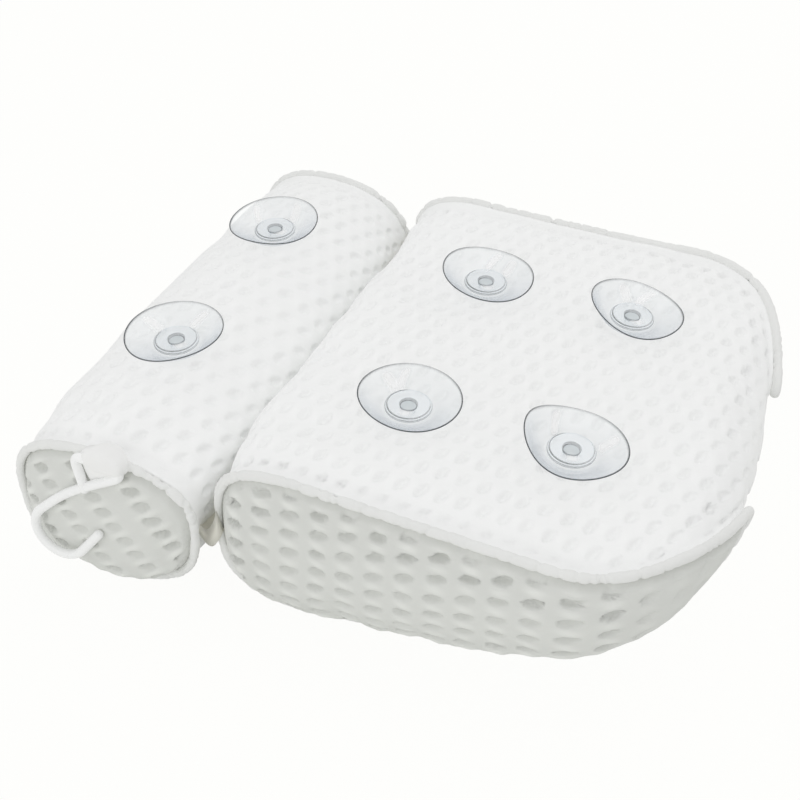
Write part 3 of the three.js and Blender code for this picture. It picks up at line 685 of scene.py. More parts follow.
def new_piece(name, *shells):
    """A smooth mesh object from closed shells of points in millimetres, with its faces turned outwards."""
    all_points = []
    all_faces = []
    for points, faces in shells:
        points = np.asarray(points, float)
        start = sum(len(part) for part in all_points)
        step = 1 if signed_volume(points, faces) > 0 else -1
        all_faces += [tuple(start + i for i in face[::step]) for face in faces]
        all_points.append(points)
    mesh = bpy.data.meshes.new(name)
    mesh.from_pydata((np.vstack(all_points) * MM).tolist(), [], all_faces)
    mesh.polygons.foreach_set("use_smooth", np.ones(len(mesh.polygons), bool))
    piece = bpy.data.objects.new(name, mesh)
    bpy.context.scene.collection.objects.link(piece)
    return piece


def grid_faces(rows, columns, closed_rows=False, closed_columns=False, start=0):
    """Four-sided faces over a grid of points laid row by row."""
    i, j = np.meshgrid(
        np.arange(rows if closed_rows else rows - 1),
        np.arange(columns if closed_columns else columns - 1),
        indexing="ij",
    )
    here = i * columns
    below = (i + 1) % rows * columns
    beside = (j + 1) % columns
    quads = np.stack((here + j, here + beside, below + beside, below + j), -1)
    return [tuple(quad) for quad in (quads.reshape(-1, 4) + start).tolist()]


def fan_faces(ring, centre, flip):
    """Three-sided faces from a ring of points to a centre point."""
    faces = []
    for k, a in enumerate(ring):
        b = ring[(k + 1) % len(ring)]
        faces.append((centre, b, a) if flip else (centre, a, b))
    return faces


def tube_faces(rings, sides):
    """Faces of a closed tube: its rings of points, then a point for its start and one for its end."""
    count = rings * sides
    faces = grid_faces(rings, sides, closed_columns=True)
    faces += fan_faces(list(range(sides)), count, True)
    return faces + fan_faces(list(range(count - sides, count)), count + 1, False)


def slab(front, back):
    """Points and faces of a closed sheet between two grids of points."""
    rows, columns = front.shape[:2]
    count = rows * columns
    faces = grid_faces(rows, columns)
    faces += [tuple(reversed(face)) for face in grid_faces(rows, columns, start=count)]
    rim = list(range(columns))
    rim += [i * columns + columns - 1 for i in range(1, rows)]
    rim += [(rows - 1) * columns + i for i in range(columns - 2, -1, -1)]
    rim += [i * columns for i in range(rows - 2, 0, -1)]
    for k, a in enumerate(rim):
        b = rim[(k + 1) % len(rim)]
        faces.append((b, a, count + a, count + b))
    return np.vstack((front.reshape(-1, 3), back.reshape(-1, 3))), faces


def plain_mesh(piece):
    """Turns a piece into the plain mesh that its modifiers give, and drops them."""
    graph = bpy.context.evaluated_depsgraph_get()
    made_mesh = bpy.data.meshes.new_from_object(piece.evaluated_get(graph))
    piece.modifiers.clear()
    old = piece.data
    piece.data = made_mesh
    bpy.data.meshes.remove(old)


def mesh_vectors(mesh, name):
    """Places or directions of a mesh's points."""
    flat = np.empty(len(mesh.vertices) * 3)
    mesh.vertices.foreach_get(name, flat)
    return flat.reshape(-1, 3)


# Sleeves and panels
def sleeve_shape(cushion, spacing):
    """Points, faces and fabric places of a sleeve, closed at both sides behind the panels."""
    seam = cushion.seam(spacing)
    normal = loop_normals(seam)
    width = cushion.half_width(seam[:, 0])
    rows = int(round(2 * width.max() / spacing))
    across = np.linspace(-1, 1, rows + 1)[:, None]
    from_seam = (1 - np.abs(across)) * width
    upper = np.where(normal[:, 1] > 0, cushion.crown["top"], cushion.crown["under"])
    swell = cushion.crown["side"] * normal[:, 0] ** 2 + upper * normal[:, 1] ** 2
    edge = bell(from_seam, SEAM_RISE_WIDTH)
    lift = (1 - np.abs(across) ** 3) * swell + SEAM_RISE * edge
    lift = lift - SEAM_DIP * bell(from_seam - SEAM_DIP_AT, SEAM_DIP_WIDTH)
    x = seam[:, 0] + lift * normal[:, 0]
    z = seam[:, 1] + lift * normal[:, 1]
    y = across * width + np.sign(across) * SEAM_REACH * edge
    y = y - np.sign(y) * cushion.tuck(x, z) * bell(from_seam, SEAM_TUCK_WIDTH)
    count = len(seam)
    run = np.arange(count) * np.linalg.norm(np.roll(seam, -1, 0) - seam, axis=1).mean()
    places = np.stack((np.broadcast_to(run, x.shape), y, from_seam), -1).reshape(-1, 3)
    middle = seam.mean(0)
    depth = cushion.half_width(middle[0]) - SLEEVE_END_DEPTH
    ends = [(middle[0], way * depth, middle[1]) for way in (NEAR, FAR)]
    points = np.vstack((np.stack((x, y, z), -1).reshape(-1, 3), ends))
    return points, tube_faces(rows + 1, count), np.vstack((places, np.zeros((2, 3))))


def panel_edges(cushion, count):
    """Upper and lower edge of a panel, a little inside the seam."""
    loop = cushion.outline(count)
    stretch = np.hypot(cushion.slope(loop[:, 0]), 1)
    normal = loop_normals(loop, stretch)
    loop = loop - PANEL_EDGE_INSET * np.column_stack((normal[:, 0] / stretch, normal[:, 1]))
    return loop[:count], np.vstack((loop[:1], loop[:count - 2:-1]))


def panel_shape(cushion, way, spacing):
    """Points, faces and fabric places of a domed panel, closed at its back."""
    columns = int(round((cushion.last - cushion.first) / spacing))
    upper, lower = panel_edges(cushion, columns)
    middle = np.array([cushion.middle])
    height = cushion.top(middle)[0] - cushion.bottom(middle)[0]
    rows = max(PANEL_LEAST_ROWS, int(round(height / spacing)))
    share = np.linspace(0, 1, rows + 1)[None, :, None]
    flat = upper[1:-1, None, :] * (1 - share) + lower[1:-1, None, :] * share
    flat = np.vstack((flat.reshape(-1, 2), upper[:1], upper[-1:]))
    stretch = np.hypot(cushion.slope(upper[:, 0]), 1)
    run = np.concatenate(([0], np.cumsum(np.diff(upper[:, 0]) * (stretch[1:] + stretch[:-1]) / 2)))

    def unrolled(places):
        along = np.interp(places[:, 0], upper[:, 0], run) - np.interp(0.0, upper[:, 0], run)
        return np.column_stack((along, places[:, 1]))

    edge = even_steps(unrolled(np.vstack((upper, lower[-2:0:-1]))), PANEL_EDGE_STEP)
    along, rise = unrolled(flat).T
    from_seam = distance_to(unrolled(flat), edge)
    stand = PANEL_EDGE_OUT + (PANEL_STAND - PANEL_EDGE_OUT) * smooth_step(from_seam / PANEL_EDGE_EASE)
    out = stand + cushion.panel_bulge(flat[:, 0], flat[:, 1])
    points = cushion.side(flat[:, 0], flat[:, 1], out, way)
    inner = columns - 2
    first = inner * (rows + 1)
    faces = grid_faces(inner, rows + 1)
    for j in range(rows):
        last = (inner - 1) * (rows + 1) + j
        faces += [(first, j, j + 1), (first + 1, last + 1, last)]
    ring = [first] + [i * (rows + 1) for i in range(inner)] + [first + 1]
    ring += [i * (rows + 1) + rows for i in range(inner - 1, -1, -1)]
    faces += fan_faces(ring, first + 2, False)
    back = cushion.side(middle, np.array([flat[:, 1].mean()]), np.array([PANEL_BACK_OUT]), way)
    places = np.column_stack((rise, along, from_seam))
    return np.vstack((points, back)), faces, np.vstack((places, np.zeros(3)))


def sewn_bag(cushion):
    """Rough closed copy of a cushion's cover, as one even mesh."""
    parts = [sleeve_shape(cushion, BAG_STEP)]
    parts += [panel_shape(cushion, way, BAG_STEP) for way in (NEAR, FAR)]
    bags = [new_piece(f"{cushion.label}_bag", part[:2]) for part in parts]
    with bpy.context.temp_override(active_object=bags[0], selected_editable_objects=bags):
        bpy.ops.object.join()
    remesh = bags[0].modifiers.new("Even cover", "REMESH")
    remesh.mode = "VOXEL"
    remesh.voxel_size = BAG_VOXEL
    plain_mesh(bags[0])
    return bags[0]


def filled_swell(cushion, fabric):
    """Fills a rough copy of the cushion like a sewn bag and keeps how far each place of the cover moves."""
    bag = sewn_bag(cushion)
    start = mesh_vectors(bag.data, "co") / MM
    normals = mesh_vectors(bag.data, "normal")
    seam = cushion.seam(BAG_SEAM_STEP)
    line = np.vstack([cushion.side(seam[:, 0], seam[:, 1], PIPING_OUT, way) for way in (NEAR, FAR)])
    held = np.minimum(distance_to(start, line), BAG_FAR)
    for seat in seats_on(cushion):
        held = np.minimum(held, np.maximum(0, np.linalg.norm(start - seat, axis=1) - SEAT_RADIUS))
    slack = fabric.slack / MM * smooth_step(held / BAG_SLACK_EASE)
    loose = start - normals * slack[:, None]
    bag.data.vertices.foreach_set("co", (loose * MM).ravel())
    pins = bag.vertex_groups.new(name="Sewn down")
    pins.add(np.flatnonzero(held < BAG_PINNED).tolist(), 1.0, "REPLACE")
    cloth = bag.modifiers.new("Filled cover", "CLOTH").settings
    for name, value in BAG_CLOTH.items():
        setattr(cloth, name, value)
    cloth.uniform_pressure_force = fabric.pressure
    cloth.vertex_group_mass = pins.name
    cloth.effector_weights.gravity = 0
    scene = bpy.context.scene
    for number in range(1, BAG_FRAMES + 1):
        scene.frame_set(number)
    plain_mesh(bag)
    moved = mesh_vectors(bag.data, "co") / MM - start
    scene.frame_set(1)
    size = np.linalg.norm(moved, axis=1, keepdims=True)
    moved *= np.minimum(1, fabric.swell_limit / MM / np.maximum(size, 1e-6))
    edges = np.empty(len(bag.data.edges) * 2, int)
    bag.data.edges.foreach_get("vertices", edges)
    edges = edges.reshape(-1, 2)
    links = np.bincount(edges.ravel(), minlength=len(start))[:, None]
    for _ in range(BAG_SMOOTHING):
        total = np.zeros_like(moved)
        np.add.at(total, edges[:, 0], moved[edges[:, 1]])
        np.add.at(total, edges[:, 1], moved[edges[:, 0]])
        moved = (moved + total / np.maximum(links, 1)) / 2
    bpy.data.objects.remove(bag)
    tree = KDTree(len(start))
    for i, point in enumerate(start):
        tree.insert(point, i)
    tree.balance()
    cushion.swell = (tree, moved)


def swollen(cushion, points):
    """Points of a cover moved as the filling pushes them."""
    if cushion.swell is None:
        return points
    tree, moved = cushion.swell
    out = np.array(points, float)
    for i, point in enumerate(points):
        weight = 0.0
        push = np.zeros(3)
        for _, index, distance in tree.find_n(point, BAG_NEIGHBOURS):
            share = 1 / (distance * distance + BAG_BLUR)
            weight += share
            push += share * moved[index]
        out[i] += push / weight
    return out


def at_rest(cushion, points):
    """Points moved with the filling, pressed flat by the floor and cups, and held back from the fold."""
    start = np.array(points, float)
    points = start.copy()
    for place, reach, push in SHIFTS[cushion.label]:
        away = (start - np.array(place)) / np.array(reach)
        points += np.exp(-(away * away).sum(1))[:, None] * np.array(push)
    for seat in seats_on(cushion):
        away = np.hypot(points[:, 0] - seat[0], points[:, 1] - seat[1])
        press = 1 - smooth_step((away - SEAT_RADIUS) / SEAT_EASE)
        press *= points[:, 2] > seat[2] - SEAT_DEPTH
        points[:, 2] += press * np.minimum(0, seat[2] - SEAT_SINK - points[:, 2])
    low = points[:, 2]
    pressed = FLOOR_EASE * np.log1p(np.exp(np.clip(low / FLOOR_EASE, -30, 4.5)))
    points[:, 2] = np.where(low < 4 * FLOOR_EASE, pressed, low)
    facing = points[:, 0]
    if cushion is PAD:
        points[:, 0] = np.where(facing < cushion.middle, np.maximum(facing, PAD_FOLD_X), facing)
    else:
        points[:, 0] = np.where(facing > cushion.middle, np.minimum(facing, ROLL_FOLD_X), facing)
    return points


# Node trees
class Value:
    """What a socket of a node tree gives, for sums by Math nodes."""

    def __init__(self, tree, socket):
        self.tree = tree
        self.socket = socket

    def math(self, operation, *others):
        """Result of one Math node."""
        inputs = dict(enumerate((self, *others)))
        return made(self.tree, "ShaderNodeMath", 0, inputs, operation=operation)

    def __add__(self, other):
        return self.math("ADD", other)

    def __sub__(self, other):
        return self.math("SUBTRACT", other)

    def __mul__(self, other):
        return self.math("MULTIPLY", other)

    def __truediv__(self, other):
        return self.math("DIVIDE", other)


def feed(tree, node, inputs):
    """Links inputs of a node to values of its tree, or sets them."""
    for name, value in inputs.items():
        if isinstance(value, Value):
            tree.links.new(value.socket, node.inputs[name])
        else:
            node.inputs[name].default_value = value


def made(tree, kind, output, inputs=None, **settings):
    """Adds a node with its settings and inputs, and gives one of its outputs."""
    node = tree.nodes.new(kind)
    for name, value in settings.items():
        setattr(node, name, value)
    feed(tree, node, inputs or {})
    return Value(tree, node.outputs[output])


def parts_of(value):
    """The three numbers of a vector."""
    node = value.tree.nodes.new("ShaderNodeSeparateXYZ")
    feed(value.tree, node, {0: value})
    return [Value(value.tree, socket) for socket in node.outputs]


# Geometry Nodes: the dimples of the spacer mesh
def dimple_tree():
    """Presses staggered rows of oval dimples into a fabric by its own places, the attribute weave."""
    tree = bpy.data.node_groups.new("Mesh dimples", "GeometryNodeTree")
    face = tree.interface
    face.new_socket("Geometry", in_out="INPUT", socket_type="NodeSocketGeometry")
    for name in DIMPLE_INPUTS:
        face.new_socket(name, in_out="INPUT", socket_type="NodeSocketFloat")
    face.new_socket("Fabric", in_out="INPUT", socket_type="NodeSocketMaterial")
    face.new_socket("Geometry", in_out="OUTPUT", socket_type="NodeSocketGeometry")
    given = {socket.name: Value(tree, socket) for socket in tree.nodes.new("NodeGroupInput").outputs}
    pitch = given["Pitch"]
    spacing = given["Row spacing"]
    weave = {"Name": "weave"}
    place = made(tree, "GeometryNodeInputNamedAttribute", "Attribute", weave, data_type="FLOAT_VECTOR")
    wander = {"Vector": place, "Scale": WANDER_SCALE, "Detail": 0.0}
    drift = parts_of(made(tree, "ShaderNodeTexNoise", "Color", wander))
    run, side, fade = parts_of(place)
    sway = pitch * given["Wander"]
    along = (drift[0] - 0.5) * sway + run
    across = (drift[1] - 0.5) * sway + side
    row = (across / spacing).math("ROUND")
    odd = row.math("MODULO", 2.0).math("ABSOLUTE")
    shifted = along - odd * 0.5 * pitch
    column = (shifted / pitch).math("ROUND")
    off_along = shifted - column * pitch
    off_across = across - row * spacing
    sine = given["Turn"].math("SINE")
    cosine = given["Turn"].math("COSINE")
    part_along = (off_along * cosine + off_across * sine) / (given["Dimple width"] * 0.5)
    part_across = (off_across * cosine - off_along * sine) / (given["Dimple length"] * 0.5)
    square = part_across * part_across + part_along * part_along
    bowl = (square * -1.0 + 1.0).math("MAXIMUM", 0.0)
    soft = bowl.math("POWER", SOFT_POWER)
    hard = (bowl * HARD_SLOPE).math("MINIMUM", 1.0)
    sharp = (part_along * 0.5 + 0.5).math("MAXIMUM", 0.0) * given["Lip"] + given["Edge"]
    shape = (hard - soft) * sharp + soft
    tilt = part_along * LIP_TILT * given["Lip"] + 1.0
    cell = made(tree, "ShaderNodeCombineXYZ", 0, {0: column, 1: row})
    luck = made(tree, "ShaderNodeTexWhiteNoise", "Value", {"Vector": cell})
    mask = shape * tilt * ((luck * given["Unevenness"] * -1.0 + 1.0) * fade)
    cycle = (off_along / pitch * (2 * math.pi)).math("COSINE")
    crest = (off_across / spacing * math.pi).math("COSINE")
    swell = cycle * crest * crest
    deep = mask * given["Depth"] + swell * given["Wave"] * fade
    inward = {0: made(tree, "GeometryNodeInputNormal", 0), "Scale": deep * -1.0}
    push = made(tree, "ShaderNodeVectorMath", 0, inward, operation="SCALE")
    cloth = made(tree, "GeometryNodeSetPosition", 0, {"Geometry": given["Geometry"], "Offset": push})
    # The dimple and ridge masks are kept for the fabric's painted shade in the dimples and painted highlight
    # on the ridges
    for name, value in (("dimple", mask), ("ridge", swell * fade)):
        inputs = {"Geometry": cloth, "Name": name, "Value": value}
        kind = "GeometryNodeStoreNamedAttribute"
        cloth = made(tree, kind, 0, inputs, data_type="FLOAT", domain="POINT")
    cloth = made(tree, "GeometryNodeRealizeInstances", 0, {0: cloth})
    cloth = made(tree, "GeometryNodeSetMaterial", 0, {"Geometry": cloth, "Material": given["Fabric"]})
    feed(tree, tree.nodes.new("NodeGroupOutput"), {0: cloth})
    return tree


def press_dimples(piece, weave, sizes, fabric_material):
    """Gives a fabric piece its dimples as real shape, by the place of each point in the weave."""
    places = piece.data.attributes.new("weave", "FLOAT_VECTOR", "POINT")
    places.data.foreach_set("vector", np.column_stack(weave).astype(np.float32).ravel())
    tree = bpy.data.node_groups.get("Mesh dimples") or dimple_tree()
    modifier = piece.modifiers.new("Dimples", "NODES")
    modifier.node_group = tree
    for item in tree.interface.items_tree:
        if item.in_out != "INPUT":
            continue
        if item.name in sizes:
            modifier[item.identifier] = float(sizes[item.name])
        elif item.name == "Fabric":
            modifier[item.identifier] = fabric_material
    plain_mesh(piece)


# Materials
def new_material(name):
    """An empty material with its Principled shader."""
    material = bpy.data.materials.new(name)
    material.use_nodes = True
    return material, material.node_tree, material.node_tree.nodes["Principled BSDF"]


def shared_material(make, name, *values):
    """A material that several pieces share, made once."""
    return bpy.data.materials.get(name) or make(name, *values)


def kept_mark(tree, name, output="Fac"):
    """Reads a value kept on the mesh."""
    return made(tree, "ShaderNodeAttribute", output, attribute_name=name)


def own_place(tree):
    """Place of a point on its piece."""
    return made(tree, "ShaderNodeTexCoord", "Object")


def noise(tree, vector, scale, detail=2.0):
    """Noise over a vector."""
    return made(tree, "ShaderNodeTexNoise", "Fac", {"Vector": vector, "Scale": scale, "Detail": detail})


def ranged(tree, value, low, high):
    """A value from 0 to 1 laid out between two numbers."""
    return made(tree, "ShaderNodeMapRange", "Result", {"Value": value, "To Min": low, "To Max": high})


def bump(tree, height, distance, strength, below=None):
    """A bump from a height, on top of another if one is given."""
    inputs = {"Height": height, "Distance": distance, "Strength": strength}
    if below is not None:
        inputs["Normal"] = below
    return made(tree, "ShaderNodeBump", "Normal", inputs)


def toned(colour, factor):
    """A colour made darker or lighter, with full opacity."""
    return tuple(min(1.0, part * factor) for part in colour) + (1.0,)


def colour_mix(tree, factor, first, second):
    """A colour between two others."""
    inputs = {"Factor": factor, "A": first, "B": second}
    return made(tree, "ShaderNodeMix", "Result", inputs, data_type="RGBA")


def clouded(tree, cloud, colour, low, high):
    """A colour that varies a little with a cloud of noise."""
    return colour_mix(tree, cloud, toned(colour, low), toned(colour, high))


def surface_mix(tree, factor, first, second):
    """A surface between two others."""
    return made(tree, "ShaderNodeMixShader", 0, {0: factor, 1: first, 2: second})


def ray_of(tree, *kinds):
    """1 for a ray of one of these kinds."""
    path = tree.nodes.new("ShaderNodeLightPath").outputs
    total = Value(tree, path[kinds[0]])
    for kind in kinds[1:]:
        total = total.math("MAXIMUM", Value(tree, path[kind]))
    return total


def spacer_mesh(name, colour, ridge_highlight_gain):
    """White spacer mesh of fine knitted cells, painted paler on its ridges and greyer in its dimples: partly
    the tighter and looser knit there, partly painted highlight and painted shade.
    """
    material, tree, shader = new_material(name)
    place = own_place(tree)
    weave = kept_mark(tree, "weave", "Vector")
    cells = made(tree, "ShaderNodeTexVoronoi", "Distance", {"Scale": 820.0, "Vector": weave})
    base = clouded(tree, noise(tree, place, 14.0), colour, 0.985, 1.01)
    # Ridges painted paler: a painted highlight on the crests, partly their tighter knit
    painted_ridge_highlight = (kept_mark(tree, "ridge") * -1.0).math("MAXIMUM", 0.0) * 0.8
    base = colour_mix(tree, painted_ridge_highlight, base, toned(colour, 1.0 + ridge_highlight_gain))
    fine = bump(tree, cells, 0.0003, 0.22)
    feed(tree, shader, {
        # Dimples painted greyer: painted shade in the pits, partly their looser knit
        "Base Color": colour_mix(tree, kept_mark(tree, "dimple") * 0.28, base, toned(colour, 0.86)),
        "Roughness": ranged(tree, cells, 0.8, 0.95),
        "Sheen Weight": 0.12,
        "Sheen Roughness": 0.5,
        "Specular IOR Level": 0.25,
        "Normal": bump(tree, noise(tree, place, 160.0), 0.0004, 0.12, fine),
    })
    return material


def woven_tape(name, colour):
    """Plain woven tape for piping, tab and web."""
    material, tree, shader = new_material(name)
    place = own_place(tree)
    inputs = {"Scale": 1500.0, "Vector": place}
    threads = made(tree, "ShaderNodeTexVoronoi", "Distance", inputs, distance="CHEBYCHEV")
    cloud = noise(tree, place, 60.0, 4.0)
    fine = bump(tree, threads, 0.0002, 0.2)
    feed(tree, shader, {
        "Base Color": clouded(tree, cloud, colour, 0.955, 1.02),
        "Roughness": ranged(tree, cloud, 0.72, 0.9),
        "Sheen Weight": 0.1,
        "Specular IOR Level": 0.3,
        "Normal": bump(tree, noise(tree, place, 240.0, 3.0), 0.0005, 0.18, fine),
    })
    return material


def moulded_plastic(name, colour, gloss):
    """Moulded plastic with a soft gloss."""
    material, tree, shader = new_material(name)
    place = own_place(tree)
    cloud = noise(tree, place, 90.0)
    feed(tree, shader, {
        "Base Color": clouded(tree, cloud, colour, 0.985, 1.01),
        "Roughness": ranged(tree, cloud, gloss, gloss + 0.12),
        "Specular IOR Level": 0.5,
        "Normal": bump(tree, noise(tree, place, 500.0), 0.0001, 0.08),
    })
    return material


def clear_plastic(name, tint, haze, gain, body=VEIL):
    """Clear film: what lies behind shows through, with dark lines painted on its edges as painted shade and
    pale streaks painted on it as painted highlight.
    """
    material, tree, shader = new_material(name)
    edge = kept_mark(tree, "edge")
    streak = kept_mark(tree, "streak")
    # Painted highlight: the pale streaks and glints
    lighter = (streak * MARK_GAIN).math("MINIMUM", 1.0)
    # Painted shade: the dark edge lines
    darker = (edge * MARK_GAIN).math("MINIMUM", 1.0)
    feed(tree, shader, {
        "Base Color": colour_mix(tree, darker, colour_mix(tree, lighter, body, PAINTED_HIGHLIGHT), PAINTED_EDGE_SHADE),
        "Roughness": ranged(tree, noise(tree, own_place(tree), 60.0), 0.08, 0.2),
    })
    film = made(tree, "ShaderNodeBsdfTransparent", 0, {"Color": (*tint, 1.0)})
    gloss = made(tree, "ShaderNodeBsdfGlossy", 0, {"Roughness": 0.08})
    facing = made(tree, "ShaderNodeLayerWeight", "Facing", {"Blend": 0.5})
    glance = facing.math("POWER", 5.0) * 0.3 + 0.025
    veil = facing.math("POWER", 3.0) * gain + haze
    solid = veil.math("MAXIMUM", (edge * 0.95).math("MAXIMUM", streak * 0.8))
    bare = surface_mix(tree, glance, film, gloss)
    marked = surface_mix(tree, solid, bare, Value(tree, shader.outputs[0]))
    passing = ray_of(tree, "Is Shadow Ray", "Is Diffuse Ray") * LIGHT_LET_THROUGH
    clear = made(tree, "ShaderNodeBsdfTransparent", 0)
    feed(tree, tree.nodes["Material Output"], {"Surface": surface_mix(tree, passing, marked, clear)})
    return material


# Fabric pieces
def make_sleeve(cushion, fabric):
    """Dimpled sleeve of a cushion, closed behind its panels."""
    points, faces, places = sleeve_shape(cushion, SLEEVE_STEP)
    points = at_rest(cushion, swollen(cushion, points))
    piece = new_piece(f"{cushion.label}_cushion", (points, faces))
    run, y, from_seam = places.T
    seam = cushion.seam(SLEEVE_STEP)
    on_top = seam[:, 1] > (seam[:, 1].max() + seam[:, 1].min()) / 2
    mark = PAD_ROW_X if cushion is PAD else ROLL_X
    at_mark = np.argmin(np.where(on_top, np.abs(seam[:, 0] - mark), np.inf))
    along = run - at_mark * np.linalg.norm(seam[1] - seam[0])
    across = y - ROW_Y + ROW_DRIFT * along
    fade = smooth_step((from_seam - SEAM_PLAIN) / SEAM_FADE)
    for seat in seats_on(cushion):
        away = np.linalg.norm(points - seat, axis=1)
        fade *= smooth_step((away - SEAT_RADIUS) / SEAT_FADE)
    fade *= FLOOR_SHARE + (1 - FLOOR_SHARE) * smooth_step(points[:, 2] / FLOOR_FADE)
    fade *= 1 - NOSE_LOSS * smooth_step((points[:, 0] - NOSE_TURN_X) / NOSE_FADE)
    sizes = {"Pitch": fabric.pitch, "Row spacing": fabric.row, "Depth": fabric.depth, **SLEEVE_DIMPLE}
    mesh_fabric = shared_material(spacer_mesh, "Sleeve mesh", fabric.colour, SLEEVE_RIDGE_HIGHLIGHT)
    press_dimples(piece, (along * MM, across * MM, fade), sizes, mesh_fabric)
    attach(piece, cushion.label)
    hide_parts(f"{cushion.label}_cover", f"{cushion.label}_core")


def make_panel(cushion, way, fabric, seams):
    """Dimpled panel that closes one side of a cushion."""
    kind = "side_panel" if cushion is PAD else "end_panel"
    name = f"{cushion.label}_{kind}_{SIDE_WORDS[way]}"
    points, faces, places = panel_shape(cushion, way, PANEL_STEP)
    points = swollen(cushion, points)
    rise, along, from_seam = places.T
    pull = ripples(along, rise / PUCKER_LEAN, seams.gather / MM, PUCKER_LENGTHS, 11 + way)
    pull = pull * np.exp(-from_seam / PUCKER_REACH) * smooth_step(from_seam / PUCKER_START)
    points[:, 1] += way * pull
    points = at_rest(cushion, points)
    piece = new_piece(f"{name}_mesh", (points, faces))
    fade = smooth_step((from_seam - PANEL_PLAIN) / PANEL_FADE)
    fade *= 1 + PANEL_GAIN * bell(from_seam - PANEL_FULLEST, PANEL_FULL_REACH)
    fade *= 1 - PANEL_LOSS * smooth_step((along - PANEL_PLAIN_X) / PANEL_PLAIN_FADE)
    level = rise - PANEL_ROW_Z
    beside = along - (PANEL_COLUMN_X if cushion is PAD else ROLL_X)
    sizes = PAD_PANEL_DIMPLE
    if cushion is ROLL:
        sizes = ROLL_PANEL_DIMPLE
        cosine = math.cos(ROLL_PANEL_LINE)
        sine = math.sin(ROLL_PANEL_LINE)
        level, beside = beside * cosine + level * sine, level * cosine - beside * sine
    # The panels' darker colour is partly painted shade of their upright sides
    mesh_fabric = shared_material(spacer_mesh, "Panel mesh", fabric.panel_colour, PANEL_RIDGE_HIGHLIGHT)
    sizes = {"Depth": fabric.panel_depth, **sizes}
    press_dimples(piece, (level * MM, beside * MM, fade), sizes, mesh_fabric)
    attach(piece, cushion.label)
    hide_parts(name)


def make_piping(cushion, way, seams):
    """Wrinkled piping round the seam of one side."""
    name = f"{cushion.label}_piping_{SIDE_WORDS[way]}"
    seam = cushion.seam(PIPING_STEP)
    slope = cushion.slope(seam[:, 0])[:, None]
    stretch = np.hypot(slope, 1)
    normal = loop_normals(seam, stretch[:, 0])
    run = run_along(cushion.side(seam[:, 0], seam[:, 1], PIPING_OUT, way))[:, None]
    turn = full_turn(PIPING_SIDES)[None, :]
    folds_and_painted_streaks = ripples(run, PIPING_WAVE_TURN * turn, PIPING_WAVE, PIPING_WAVES, 29 + way)
    source = np.random.default_rng(41 + way)
    places = list(source.uniform(0, run[-1, 0], int(run[-1, 0] / PIPING_CREASE_EVERY)))
    low, high, count = PIPING_BUNCHES[cushion.label]
    bunched = (seam[:, 0] > low) & (seam[:, 0] < high) & (normal[:, 1] > 0)
    places += list(source.choice(run[bunched, 0], count))
    for at in places:
        lean = source.uniform(-1.6, 1.6)
        phase = source.uniform(0, 6)
        width = source.uniform(0.6, 1.3)
        depth = source.uniform(0.08, 0.3)
        folds_and_painted_streaks = folds_and_painted_streaks - depth * bell(run - at + lean * np.sin(turn + phase), width)
    size = seams.radius / MM * (1 + folds_and_painted_streaks)
    out = PIPING_OUT + size * np.cos(turn) - cushion.tuck(seam[:, 0], seam[:, 1])[:, None]
    away = PIPING_PROUD + size * np.sin(turn)
    x = seam[:, :1] + away * normal[:, :1] / stretch
    z = seam[:, 1:] + away * normal[:, 1:]
    y = way * (cushion.half_width(x) + out / stretch)
    x = x - out * slope / stretch
    points = at_rest(cushion, np.stack((x, y, z), -1).reshape(-1, 3))
    faces = grid_faces(len(seam), PIPING_SIDES, closed_rows=True, closed_columns=True)
    piece = new_piece(f"{name}_welt", (points, faces))
    piece.data.materials.append(shared_material(woven_tape, "Piping tape", seams.colour))
    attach(piece, cushion.label)
    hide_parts(name)


def make_web(seams):
    """Strip of tape that hangs in the fold, sewn to the facing sides of roll and pad."""
    share, place = np.meshgrid(np.linspace(0, 1, 13), np.linspace(-1, 1, 141), indexing="ij")
    y = place * WEB_HALF_LENGTH
    roll_crown = 1 - np.abs(y / ROLL_HALF_LENGTH) ** 3
    pad_crown = 1 - np.minimum(1, np.abs(y / PAD_NECK_HALF_WIDTH)) ** 3
    roll_side = ROLL.last + ROLL.crown["side"] * roll_crown - WEB_OVERLAP
    roll_side = roll_side - WEB_TUCK * bell(y - WEB_TUCK_Y, WEB_TUCK_WIDTH)
    pad_side = PAD.first - PAD.crown["side"] * pad_crown + WEB_OVERLAP
    x = roll_side + (pad_side - roll_side) * share
    sag = WEB_SAG * np.sin(math.pi * share) ** 0.8
    z = WEB_Z - sag + ripples(y, 3.0 * share, 0.5, (17.0, 29.0, 43.0), 3)
    at_end = smooth_step((np.abs(y) - WEB_HALF_LENGTH + WEB_END) / WEB_END)
    rise = WEB_END_RISE * at_end * (WEB_END_LOW + (1 - WEB_END_LOW) * share)
    top = np.stack((x, y, z + WEB_WALL / 2 + rise), -1)
    under = np.stack((x, y, z - WEB_WALL / 2), -1)
    piece = new_piece("fold_web_tape", slab(top, under))
    piece.data.materials.append(woven_tape("Web tape", seams.web_colour))
    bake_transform(piece)
    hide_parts("fold_web")


